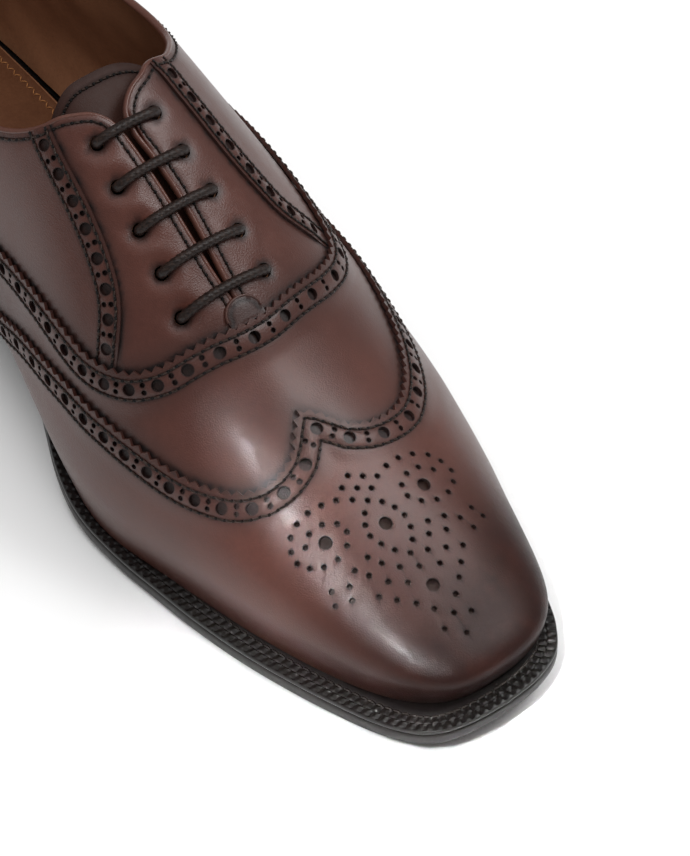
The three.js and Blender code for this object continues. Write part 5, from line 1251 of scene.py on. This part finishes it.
# a uniform .5 of the burnish-and-shade mask darkens the whole tongue: painted shade
me = tg_ob.data; a = me.attributes.new('burnish_and_shade', 'FLOAT', 'POINT'); a.data.foreach_set('value', np.full(len(me.vertices), .5, np.float32))
ti = np.array([(c[0] + (-2.2 if c[0] > 205 else 1.0 if c[0] < 144.4 else 0), c[1] * .965) for c in te])
tl_ob = panel('tongue_lining_skin', ti, [], [], lambda p, q, P: (-8.3 + 0 * p, np.zeros(len(p)), None), .85, M_TAN, s=2.4, body='tongue', attr=False)
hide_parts('tongue_lining')
stitches('tongue_seam', [trow[trow[:, 0] < 178]], hq(h_tongue), body='tongue', length=1.7, r=.27)

# ------------------------------------------------------------------ half-moon stay over the foot of the lacing gap
c0 = A2([(200.2, -0.032)]); P0, N0 = surf(c0[:, 0], c0[:, 1]); N0 = N0[0]
X0 = np.array([1.0, 0, 0]) - N0 * N0[0]; X0 /= np.linalg.norm(X0); Y0 = np.cross(N0, X0)


def stay_pt(x, y):
    p, q = np.full(len(x), c0[0, 0]), np.full(len(x), c0[0, 1])
    V = X0[None] * mm(np.asarray(x))[:, None] + Y0[None] * mm(np.asarray(y))[:, None]
    for _ in range(3):
        p, q = shift(p, q, V / 3)
    return np.stack([p, q], 1)


aa = np.linspace(math.pi / 2, 1.5 * math.pi, 40)
arc = stay_pt(np.r_[3.4, 1.2 + np.cos(aa) * 4.6, 3.4], np.r_[5.2, np.sin(aa) * 5.2, -5.2]); arc3 = at(arc[1:-1])


def h_stay(p, q, P):
    d = dist(P, arc3); return 1.0 - .4 * bell(d, .45) - .22 * bell(d - 1.25, .35) + .06 * sstep(1.5, 4, d), .35 * bell(d - 1.25, .6) + .62, d


st_ob = panel('throat_stay_skin', arc, [], [], h_stay, .95, M_CALF, s=.55)
paint_burnish_and_shade(st_ob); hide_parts('throat_stay')
P, N, T, R = frames(arc[1:-1]); C = P + N * mm(.60)
rim_ob = tube('throat_stay_rim', C, R, N, .36, .46, M_FOLD, sides=10)
for nme in ('burn_and_shade', 'burnish_and_shade'):
    a = rim_ob.data.attributes.new(nme, 'FLOAT', 'POINT'); a.data.foreach_set('value', np.full(len(rim_ob.data.vertices), .25, np.float32))


# ------------------------------------------------------------------ lace on the path of the CAD's lace
def catmull(pts, per=24):
    pts = np.asarray(pts, float); E = np.vstack([2 * pts[0] - pts[1], pts, 2 * pts[-1] - pts[-2]]); out = []
    t = np.arange(per) / per
    for i in range(1, len(E) - 2):
        x0, x1, x2, x3 = E[i - 1], E[i], E[i + 1], E[i + 2]
        d0, d1, d2 = [max(((b - a) ** 2).sum() ** .25, 1e-9) for a, b in ((x0, x1), (x1, x2), (x2, x3))]
        if d1 < 1e-4: d1 = 1.0
        if d0 < 1e-4: d0 = d1
        if d2 < 1e-4: d2 = d1
        t1 = ((x1 - x0) / d0 - (x2 - x0) / (d0 + d1) + (x2 - x1) / d1) * d1
        t2 = ((x2 - x1) / d1 - (x3 - x1) / (d1 + d2) + (x3 - x2) / d2) * d1
        c2 = -3 * x1 + 3 * x2 - 2 * t1 - t2; c3 = 2 * x1 - 2 * x2 + t1 + t2
        out.append(x1 + t1 * t[:, None] + c2 * t[:, None] ** 2 + c3 * t[:, None] ** 3)
    return np.vstack(out + [pts[-1:]])


up_ = 1.65; dn_ = -(1.2 + 1.0 + .1 + .9 + 1.3 + .65)
Lx = EYES['m'][::-1]; Rx = EYES['l'][::-1]; lp = []


def lp_add(p, q, d):
    lp.append(at([(p, q)], d)[0])


def mixc(a, b, t):
    return a[0] + (b[0] - a[0]) * t, a[1] + (b[1] - a[1]) * t


def bar(a, b):
    lp_add(a[0], a[1], dn_ * .62); lp_add(a[0], a[1], -.7); lp_add(a[0], a[1], up_ * .35); lp_add(*mixc(a, b, .13), up_ * .98)
    for t in (.3, .5, .7):
        lp_add(*mixc(a, b, t), up_)
    lp_add(*mixc(a, b, .87), up_ * .98); lp_add(b[0], b[1], up_ * .35); lp_add(b[0], b[1], -.7); lp_add(b[0], b[1], dn_ * .62)


def run(a, b, dq):
    for t in (.22, .5, .78):
        c = mixc(a, b, t); lp_add(c[0], c[1] + dq * math.sin(math.pi * t), dn_)


def ends(c, s):
    return [(c[0] - 9, c[1] + s * .23), (c[0] - 19, c[1] + s * .275), (c[0] - 3.5, c[1] + s * .12)]


eM = ends(Lx[3], -1)
for a, b in ((-6.0, .47), (-6.0, .31), (-3.0, .13)):     # this end lies sideways, below the topline
    lp_add(Rx[4][0] + a, Rx[4][1] + b, dn_)
bar(Rx[4], Lx[4]); run(Lx[4], Lx[2], .13); bar(Lx[2], Rx[2]); run(Rx[2], Rx[0], -.115); bar(Rx[0], Lx[0]); run(Lx[0], Lx[1], 0.0)
bar(Lx[1], Rx[1]); run(Rx[1], Rx[3], .115); bar(Rx[3], Lx[3])
for c in (eM[2], eM[0], eM[1]):
    lp_add(c[0], c[1], dn_)
lc_ = catmull(lp); t = arclen(lc_); Ltot = t[-1]


def path_frames(s0, s1, step):
    n = max(4, int((s1 - s0) / mm(step))); s = np.linspace(s0, s1, n); C = np.stack([np.interp(s, t, lc_[:, k]) for k in range(3)], 1)
    for _ in range(2):
        C[1:-1] = (C[:-2] + 2 * C[1:-1] + C[2:]) / 4
    T = np.gradient(C, axis=0); T /= np.linalg.norm(T, axis=1, keepdims=True)
    A = np.empty_like(T); v = np.cross(T[0], [0, 0, 1.0]); v /= np.linalg.norm(v)
    for i in range(n):
        v = v - T[i] * v.dot(T[i]); v /= np.linalg.norm(v); A[i] = v
    return C, A, np.cross(T, A), s


ag = mm(8.0); gp = mm(.3)
C, A, B, s_ = path_frames(ag + gp, Ltot - ag - gp, .36)
ph = s_ * K * 2 * math.pi / 3.4


def braid(i, a):
    return .085 * np.abs(np.sin(2.5 * a + ph[i])) * np.abs(np.sin(2.5 * a - ph[i])) * 2 - .05


lace_ob = tube('lace_skin', C, A, B, 1.30, 1.30, M_LACE, sides=20, prof=braid)
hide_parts('lace')
for i, (a0, a1) in enumerate(((0, ag), (Ltot - ag, Ltot))):
    C, A, B, s_ = path_frames(a0, a1, .8); r = np.full(len(C), 1.25); r[0] = r[-1] = .95
    ob = tube('lace_aglet_%d_skin' % (i + 1), C, A, B, r, r, M_AGLET, sides=16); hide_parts('lace_aglet_%d' % (i + 1))


# ------------------------------------------------------------------ sole: outline, welt, outsole
def closed_curve(pts, n):
    X = np.array(pts, float); m = len(X); E = np.vstack([X[-3:], X, X[:4]]); tt = np.r_[0, np.cumsum(np.hypot(*np.diff(E, axis=0).T))]
    s = np.linspace(tt[3], tt[3 + m], 4000); D = np.stack([hermite(tt, E[:, 0])(s), hermite(tt, E[:, 1])(s)], 1)
    u = np.r_[0, np.cumsum(np.hypot(*np.diff(D, axis=0).T))]; v = np.linspace(0, u[-1], n + 1)[:-1]
    return np.stack([np.interp(v, u, D[:, 0]), np.interp(v, u, D[:, 1])], 1), u[-1] * K


def plan_normals(O, k=2, passes=0):
    T = np.roll(O, -k, 0) - np.roll(O, k, 0); N = np.stack([-T[:, 1], T[:, 0]], 1)
    for _ in range(passes):
        N = (np.roll(N, 1, 0) + N + np.roll(N, -1, 0)) / 3
    N /= np.linalg.norm(N, axis=1, keepdims=True)
    c = O.mean(0); return N if ((O - c) * N).sum() > 0 else -N


def strip_ring(name, O, Nn, prof, mat, caps=False, zfun=zbot, sharp=42):
    """Closed ring swept round an outline: prof rows are (inset mm, height mm), each scalar or per outline point."""
    n = len(O); rows = []
    for d, z in prof:
        d = np.broadcast_to(np.asarray(d, float), (n,)); z = np.broadcast_to(np.asarray(z, float), (n,))
        Q = O - Nn * mm(d)[:, None]; rows.append(np.column_stack([Q, zfun(Q[:, 0]) + mm(z)]))
    V = np.vstack(rows); m = len(rows); q = []
    i = np.arange(n); j = (i + 1) % n
    for r in range(m):
        s = (r + 1) % m
        q.append(np.stack([r * n + i, r * n + j, s * n + j, s * n + i], 1))
    T = tri_mix(np.zeros((0, 3)), np.vstack(q)); t0 = V[T]
    if np.einsum('ij,ij->i', t0[:, 0] - V.mean(0), np.cross(t0[:, 1] - V.mean(0), t0[:, 2] - V.mean(0))).sum() < 0:
        T = T[:, ::-1]
    return make(name, to_m(V), T, mat, 'shoe', sharp=sharp)


NW = 1560
OUT, PERIM = closed_curve(SOLE, NW); ON = plan_normals(OUT, 5, 14)
arc_s = np.arange(NW) / NW * PERIM
wheel = round(PERIM / 2.6) ; ang = arc_s / PERIM * wheel * 2 * math.pi
fore = sstep(72, 92, OUT[:, 0])                     # the wheeling starts at the heel breast


def notch(d, off, amp, sharpness=2.2):
    c = .5 + .5 * np.cos(ang + off); return -amp * fore * (c ** sharpness)


WT = 2.0 + 3.9    # welt top above the sole's bottom line
rowsd = [(9.5, WT - 1.6), (9.5, WT)]
prof = [(9.6, 4.25), (9.6, WT - .02), (7.6, WT), (6.4, WT - .03)]
for d, z in ((5.6, -.30), (5.15, -.38), (4.9, -.08)):
    prof.append((d, WT + z * fore))
for d in (4.6, 4.0, 3.4, 3.05):
    prof.append((d + .25 * np.sin(ang * .5) * 0, WT + .10 * fore + notch(d, 0, .52)))
prof.append((2.82, WT - .20 * fore + notch(2.8, 0, .2)))
prof.append((2.6, WT + .02 * fore + notch(2.6, 1.57, .1)))
for d in (2.35, 1.8, 1.2, .85):
    prof.append((d, WT + .16 * fore + notch(d, 2.2, .62, 1.8)))
prof += [(.62, WT - .06 + notch(.6, 2.2, .22)), (.34, WT - .12), (.12, WT - .34), (.0, WT - .75), (.02, 4.75), (.22, 4.35), (.7, 4.22)]
welt_ob = strip_ring('welt_skin', OUT, ON, prof, M_WELT, sharp=60)
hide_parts('welt')

# welt stitches lie in the groove beside the wheeled rows
wn = int(PERIM / 2.6); VV = []
for k in range(wheel):
    s0 = (k + .5) / wheel * NW
    i = int(s0) % NW
    if fore[i] < .6:
        continue
    VV.append(i)
VV = np.array(VV); c2 = OUT[VV] - ON[VV] * mm(5.25); Tn = np.stack([ON[VV][:, 1], -ON[VV][:, 0]], 1)
seg = np.array([-.5, -.34, 0, .34, .5]) * 2.1; liftz = np.array([-.32, -.02, .1, -.02, -.32]); rr = np.array([.5, .9, 1, .9, .5]) * .36; sd = 6
C = np.concatenate([c2[:, None] + Tn[:, None] * mm(seg)[None, :, None], np.zeros((len(VV), 5, 1))], 2)
C[..., 2] = zbot(C[..., 0]) + mm(WT - .22) + mm(liftz)[None]
A = np.concatenate([ON[VV], np.zeros((len(VV), 1))], 1); aa = np.arange(sd) / sd * 2 * math.pi
V = C[:, :, None] + (np.cos(aa)[None, None, :, None] * A[:, None, None] + np.sin(aa)[None, None, :, None] * np.array([0, 0, 1.0])) * mm(rr)[None, :, None, None]
q = [(i * sd + j, i * sd + (j + 1) % sd, (i + 1) * sd + (j + 1) % sd, (i + 1) * sd + j) for i in range(4) for j in range(sd)]
tr = [(0, j + 1, j) for j in range(1, sd - 1)] + [(4 * sd, 4 * sd + j, 4 * sd + j + 1) for j in range(1, sd - 1)]
T1 = tri_mix(tr, q)
make('welt_seam', to_m(V.reshape(-1, 3)), (T1[None] + (np.arange(len(VV)) * 5 * sd)[:, None, None]).reshape(-1, 3), M_WELTTHREAD, 'shoe', sharp=0)


def plan_mesh(outer, holes=(), s=3.0):
    """Filled plan outline; returns points, triangles and, for each hole, its ring's point numbers."""
    outer = A2(outer); n = len(outer); pts = [outer]; edges = [(i, (i + 1) % n) for i in range(n)]; hid = []
    for h in holes:
        k = n; pts.append(h); n += len(h); edges += [(k + i, k + (i + 1) % len(h)) for i in range(len(h))]; hid.append(range(k, n))
    fixed = np.vstack(pts); f = hexfill(outer / [1, FAN], s, s * .9); f = thin(f, fixed / [1, FAN], s * .6) * [1, FAN]
    co = np.vstack([fixed, f]); vs, es, fs, ov, oe, of = delaunay_2d_cdt([Vector(c) for c in co], edges, [], 0, 1e-6, True)
    V = np.array([tuple(v) for v in vs]); T = np.array(fs, int); src = -np.ones(len(V), int)
    for i, o in enumerate(ov):
        if o:
            src[i] = min(o)
    T = T[in_outline(V[T].mean(1)[:, :2], outer)]; a = V[T]; ar = np.cross(a[:, 1] - a[:, 0], a[:, 2] - a[:, 0]); T = np.where(ar[:, None] < 0, T[:, ::-1], T)
    tagh = np.zeros(len(V), int)
    for k, ids in enumerate(hid):
        tagh[(src >= ids[0]) & (src <= ids[-1])] = k + 1
    t = tagh[T]; T = T[~((t[:, 0] > 0) & (t[:, 0] == t[:, 1]) & (t[:, 1] == t[:, 2]))]
    return V, T, src, [np.nonzero(tagh == k + 1)[0] for k in range(len(hid))]


def capped(name, O, Nn, prof, mat, zlo, zhi, fill=4.0, holes=(), depth=4.4, sharp=42, extra=None):
    """Solid with a side profile from the bottom (first row) to the top (last row) and filled faces. zlo, zhi: height fields in units for the faces."""
    n = len(O); rings_ = []
    for d, w in prof:
        Q = O - Nn * mm(d); z = zlo(Q[:, 0]) * (1 - w) + zhi(Q[:, 0]) * w; rings_.append(np.column_stack([Q, z]))
    V = [np.vstack(rings_)]; T = []; i = np.arange(n); j = (i + 1) % n; m = len(rings_)
    for r in range(m - 1):
        T.append(tri_mix(np.zeros((0, 3)), np.stack([r * n + i, r * n + j, (r + 1) * n + j, (r + 1) * n + i], 1)))
    k = m * n; flip = None
    for ringi, zz, top in ((0, zlo, False), (m - 1, zhi, True)):
        base = rings_[ringi][:, :2]; hs = holes if not top else ()
        P2, T2, src, hid = plan_mesh(base, hs, fill)
        z = zz(P2[:, 0]) + (extra(P2, top) if extra is not None else 0)
        ids = np.where((src >= 0) & (src < n), src + ringi * n, np.arange(len(P2)) + k)
        V.append(np.column_stack([P2, z])); T2 = ids[T2]; T.append(T2 if top else T2[:, ::-1]); kk = k; k += len(P2)
        for h in hid:
            c = P2[h].mean(0); o = h[np.argsort(np.arctan2(*(P2[h] - c).T[::-1]))]; a = np.arange(len(o)); b = (a + 1) % len(o)
            V.append(np.column_stack([P2[o], np.full(len(o), mm(depth))])); V.append(np.array([[c[0], c[1], mm(depth)]]))
            lo = kk + o; up = k + a; T.append(tri_mix(np.stack([up[a], np.full(len(o), k + len(o)), up[b]], 1), np.stack([lo[a], up[a], up[b], lo[b]], 1))[:, ::-1]); k += len(o) + 1
    V = np.vstack(V); T = np.vstack(T); side_v = rings_[0][0]; a = V[T[0]]
    nrm = np.cross(a[1] - a[0], a[2] - a[0])[:2]
    if nrm.dot(Nn[0]) < 0:       # side faces were wound inwards
        ns = (m - 1) * n * 2; T[:ns] = T[:ns, ::-1]
    used = np.unique(T); mp = -np.ones(len(V), int); mp[used] = np.arange(len(used))
    return make(name, to_m(V[used]), mp[T], mat, 'shoe', sharp=sharp)


O5, _ = closed_curve(SOLE, 620); N5 = plan_normals(O5, 2, 5)


def sole_under(P2, top):
    if top:
        return 0.0
    d = dist(np.column_stack([P2, np.zeros(len(P2))]), np.column_stack([np.vstack([O5, O5[:1]]), np.zeros(len(O5) + 1)]))
    return mm(.28 * bell(d - 5.5, .8) * sstep(84, 92, P2[:, 0]))


out_ob = capped('outsole_skin', O5, N5, [(1.1, 0), (.75, .02), (.35, .09), (.10, .22), (0, .42), (0, .80), (.10, .93), (.35, 1.0)], M_EDGE, zbot, lambda x: zbot(x) + mm(3.95), 3.2, extra=sole_under)
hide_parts('outsole')
# the walking face of the sole has its own, plainer finish
out_ob.data.materials.append(M_SOLE)
nn = np.empty(len(out_ob.data.polygons) * 3); out_ob.data.polygons.foreach_get('normal', nn); mi = (nn.reshape(-1, 3)[:, 2] < -.9).astype(np.int32)
out_ob.data.polygons.foreach_set('material_index', mi)

# ------------------------------------------------------------------ heel
BREAST = 81.0


def heel_outline(tp, n=300):
    b = BREAST - 1.5 * tp; Q = O5 - N5 * mm(.6 + 1.6 * tp); Q = Q[Q[:, 0] < b - .6]
    c = Q[:, 1] >= 0; lat = Q[c][np.argsort(Q[c][:, 0])]; med = Q[~c][np.argsort(-Q[~c][:, 0])]
    yl, ym = lat[-1, 1], med[0, 1]; u = np.linspace(0, 1, 40)[1:-1]
    br = np.stack([b - 4.2 * np.sin(math.pi * u) - .9 * (np.exp(-(u / .02) ** 2) + np.exp(-((1 - u) / .02) ** 2)), yl + (ym - yl) * u], 1)
    X = np.vstack([lat, br, med]); X = np.vstack([X, X[:1]]); s = np.r_[0, np.cumsum(np.hypot(*np.diff(X, axis=0).T))]; v = np.linspace(0, s[-1], n + 1)[:-1]
    return np.stack([np.interp(v, s, X[:, 0]), np.interp(v, s, X[:, 1])], 1)


def heel_part(name, z0, z1, top, mat, holes=()):
    H = 24.0; O = heel_outline(float(np.clip(1 - (z0 + z1) / 2 / H, 0, 1))); Nn = plan_normals(O, 2, 3)
    sl = 1.6 * (z1 - z0) / H / 2
    lo = lambda x: np.full(np.shape(x), float(z0)); hi = (lambda x: zbot(x) - mm(.3)) if top else (lambda x: np.full(np.shape(x), float(z1)))
    b = .035 if top else .06
    return capped(name, O, Nn, [(.38 + sl, 0), (.12 + sl, b * .6), (sl * .9, b * 1.8), (-sl * .9, 1 - b * 1.8), (.12 - sl, 1 - b * .6), (.38 - sl, 1)], mat, lo, hi, 4.0, holes)


NAILS = [(20, 3), (31, 22), (31, -20), (52, 26.5), (52, -25.5), (68, 27), (68, -26)]
hr = [np.stack([x + mm(1.5) * np.cos(np.arange(14) / 14 * 2 * math.pi), y + mm(1.5) * np.sin(np.arange(14) / 14 * 2 * math.pi)], 1) for x, y in NAILS]
ob = heel_part('heel_top_piece_skin', 0, mm(6.05), False, M_RUBBER, hr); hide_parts('heel_top_piece')
for i, (a, b, tp) in enumerate(((6.15, 12.05, False), (12.15, 17.65, False), (17.75, 22, True))):
    ob = heel_part('heel_lift_%d_skin' % (i + 1), mm(a), mm(b), tp, M_LIFT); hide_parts('heel_lift_%d' % (i + 1))


# ------------------------------------------------------------------ insole and heel sock
def inner_plan(dz, d):
    L = np.vstack([chart_spline(TOE_UNDER, 150), chart_spline(HEEL_UNDER, 110)[1:-1]]); c = feather(L, dz)
    P, N = surf(c[:, 0], c[:, 1]); h = N[:, :2] / np.linalg.norm(N[:, :2], axis=1, keepdims=True); return P[:, :2] - h * mm(d)


IP = inner_plan(.6, 6.0)
IP, _ = closed_curve(IP[::3], 300); IN = plan_normals(IP, 2, 6)
ob = capped('insole_skin', IP, IN, [(.5, 0), (.1, .2), (0, .5), (.1, .8), (.5, 1)], M_TAN, lambda x: zf(x) + mm(.35), lambda x: zf(x) + mm(2.75), 4.0)
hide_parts('insole')
SP = IP - IN * mm(1.2); SPf = SP[SP[:, 0] < 112]; c = SPf[:, 1] >= 0; lat = SPf[c][np.argsort(SPf[c][:, 0])]; med = SPf[~c][np.argsort(-SPf[~c][:, 0])]
u = np.linspace(0, 1, 30)[1:-1]; fr = np.stack([112 + 3.5 * np.sin(math.pi * u), lat[-1, 1] + (med[0, 1] - lat[-1, 1]) * u], 1)
X = np.vstack([lat, fr, med]); X = np.vstack([X, X[:1]]); s = np.r_[0, np.cumsum(np.hypot(*np.diff(X, axis=0).T))]; v = np.linspace(0, s[-1], 361)[:-1]
SO = np.stack([np.interp(v, s, X[:, 0]), np.interp(v, s, X[:, 1])], 1); SN = plan_normals(SO, 2, 2)
sz0 = lambda x: zf(x) + mm(2.82); sz1 = lambda x: zf(x) + mm(3.9)


def sock_h(P2, top):
    if not top:
        return 0.0
    d = dist(np.column_stack([P2, np.zeros(len(P2))]), np.column_stack([np.vstack([SO, SO[:1]]), np.zeros(len(SO) + 1)]))
    return mm(.25 * sstep(3, 12, d) - .25 * bell(d - 2.6, .9))


ob = capped('heel_sock_skin', SO, SN, [(.4, 0), (.05, .3), (0, .6), (.15, .9), (.5, 1)], M_SOCK, sz0, sz1, 1.6, extra=sock_h)
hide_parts('heel_sock')
# zigzag seam round the sock
zr = SO - SN * mm(2.6); s = np.r_[0, np.cumsum(np.hypot(*np.diff(np.vstack([zr, zr[:1]]), axis=0).T))]; nz = int(s[-1] * K / 1.5); v = (np.arange(nz)) / nz * s[-1]
zc = np.stack([np.interp(v, s, np.r_[zr[:, 0], zr[0, 0]]), np.interp(v, s, np.r_[zr[:, 1], zr[0, 1]])], 1); zn = np.stack([np.interp(v, s, np.r_[SN[:, k], SN[0, k]]) for k in (0, 1)], 1)
a = zc + zn * mm(.75) * np.where(np.arange(nz) % 2 == 0, 1, -1)[:, None]; b = np.roll(a, -1, 0); VV = []; f = np.array([0.04, .25, .5, .75, .96])
C2 = a[:, None] * (1 - f)[None, :, None] + b[:, None] * f[None, :, None]; Tn = (b - a); Tn /= np.linalg.norm(Tn, axis=1, keepdims=True)
C = np.concatenate([C2, (sz1(C2[..., 0]) + mm(np.array([-.3, -.02, .06, -.02, -.3]))[None])[..., None]], 2); A = np.column_stack([-Tn[:, 1], Tn[:, 0], np.zeros(nz)])
V = C[:, :, None] + (np.cos(aa)[None, None, :, None] * A[:, None, None] + np.sin(aa)[None, None, :, None] * np.array([0, 0, 1.0])) * mm(np.array([.5, .9, 1, .9, .5]) * .22)[None, :, None, None]
make('heel_sock_seam', to_m(V.reshape(-1, 3)), (T1[None] + (np.arange(nz) * 5 * sd)[:, None, None]).reshape(-1, 3), M_SOCKTHREAD, 'shoe', sharp=0)

# ------------------------------------------------------------------ carried-over CAD nodes
# the toe puff takes the dark perforation-floor colour: partly backing, partly painted shade under the medallion holes
for name, m in (('toe_puff', M_BACKING_AND_SHADE), ('heel_stiffener', M_BOARD), ('cork_filler', M_CORK), ('steel_shank', M_STEEL)):
    o = frame['nodes'][name]; o.data.materials.clear(); o.data.materials.append(m)
for i in range(1, 8):
    o = frame['nodes']['heel_nail_%d' % i]; o.data.materials.clear(); o.data.materials.append(M_BRASS)

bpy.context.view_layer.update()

# ------------------------------------------------------------------ floor, light, camera
fm = Nodes('floor')
fcol = fm.ramp(fm.noise(3, 3, .5), [(.3, (.93, .93, .93, 1)), (.7, (.95, .95, .95, 1))])
fm.out(fcol, .7, fm.bump(fm.noise(300, 3), .05, .0002), Specular_IOR_Level=.15)
me = bpy.data.meshes.new('floor'); R_ = 4.0; seg_n = 24
xs = np.linspace(-R_, R_, seg_n + 1); gv = [(x, y, -.0002) for x in xs for y in xs]
gf = [(i * (seg_n + 1) + j, (i + 1) * (seg_n + 1) + j, (i + 1) * (seg_n + 1) + j + 1, i * (seg_n + 1) + j + 1) for i in range(seg_n) for j in range(seg_n)]
me.from_pydata(gv, [], gf); me.update(); floor = bpy.data.objects.new('floor', me); bpy.context.collection.objects.link(floor); me.materials.append(fm.mat)


def area(name, loc, target, size, power, color=(1, 1, 1), sy=None):
    l = bpy.data.lights.new(name, 'AREA'); l.shape = 'RECTANGLE'; l.size = size; l.size_y = sy or size; l.energy = power; l.color = color
    o = bpy.data.objects.new(name, l); bpy.context.collection.objects.link(o); o.location = loc
    d = Vector(target) - Vector(loc); o.rotation_euler = d.to_track_quat('-Z', 'Y').to_euler(); return o


WORLD = .2
area('key_main', (.36, .64, 1.14), (.07, .0, .05), .6, 6.8, sy=.44)
kt = area('key_toe', (.13 + .24 * .6, -.026 - .46 * .6, .028 + .85 * .6), (.132, -.026, .03), .11, .041, sy=.10); kt.data.spread = math.radians(7)
area('fill_top', (-.3, -.3, 1.5), (.0, -.01, .07), .6, 1.2, sy=.6)
area('floor_wash', (.3, -.2, 2.6), (.1, 0, 0), 2.6, 54).visible_glossy = False


world = bpy.data.worlds.new('studio'); bpy.context.scene.world = world; world.use_nodes = True
world.node_tree.nodes['Background'].inputs['Color'].default_value = (1, 1, 1, 1); world.node_tree.nodes['Background'].inputs['Strength'].default_value = WORLD

cam = bpy.data.cameras.new('camera'); co = bpy.data.objects.new('camera', cam); bpy.context.collection.objects.link(co)
be, el = math.radians(39.0), math.radians(50.0)
back = Vector((math.cos(be) * math.cos(el), -math.sin(be) * math.cos(el), math.sin(el))); right = Vector((math.sin(be), math.cos(be), 0)); up = back.cross(right)
rot = Matrix((right, up, back)).transposed(); co.matrix_world = Matrix.Translation((0.58357, -0.40901, 0.82151)) @ rot.to_4x4()
cam.sensor_width = 36.0; cam.sensor_fit = 'AUTO'; cam.lens = 168.22; cam.clip_start = .05; cam.clip_end = 20
bpy.context.scene.camera = co
bpy.context.scene.view_settings.view_transform = 'Standard'
bpy.context.scene.view_settings.look = 'None'
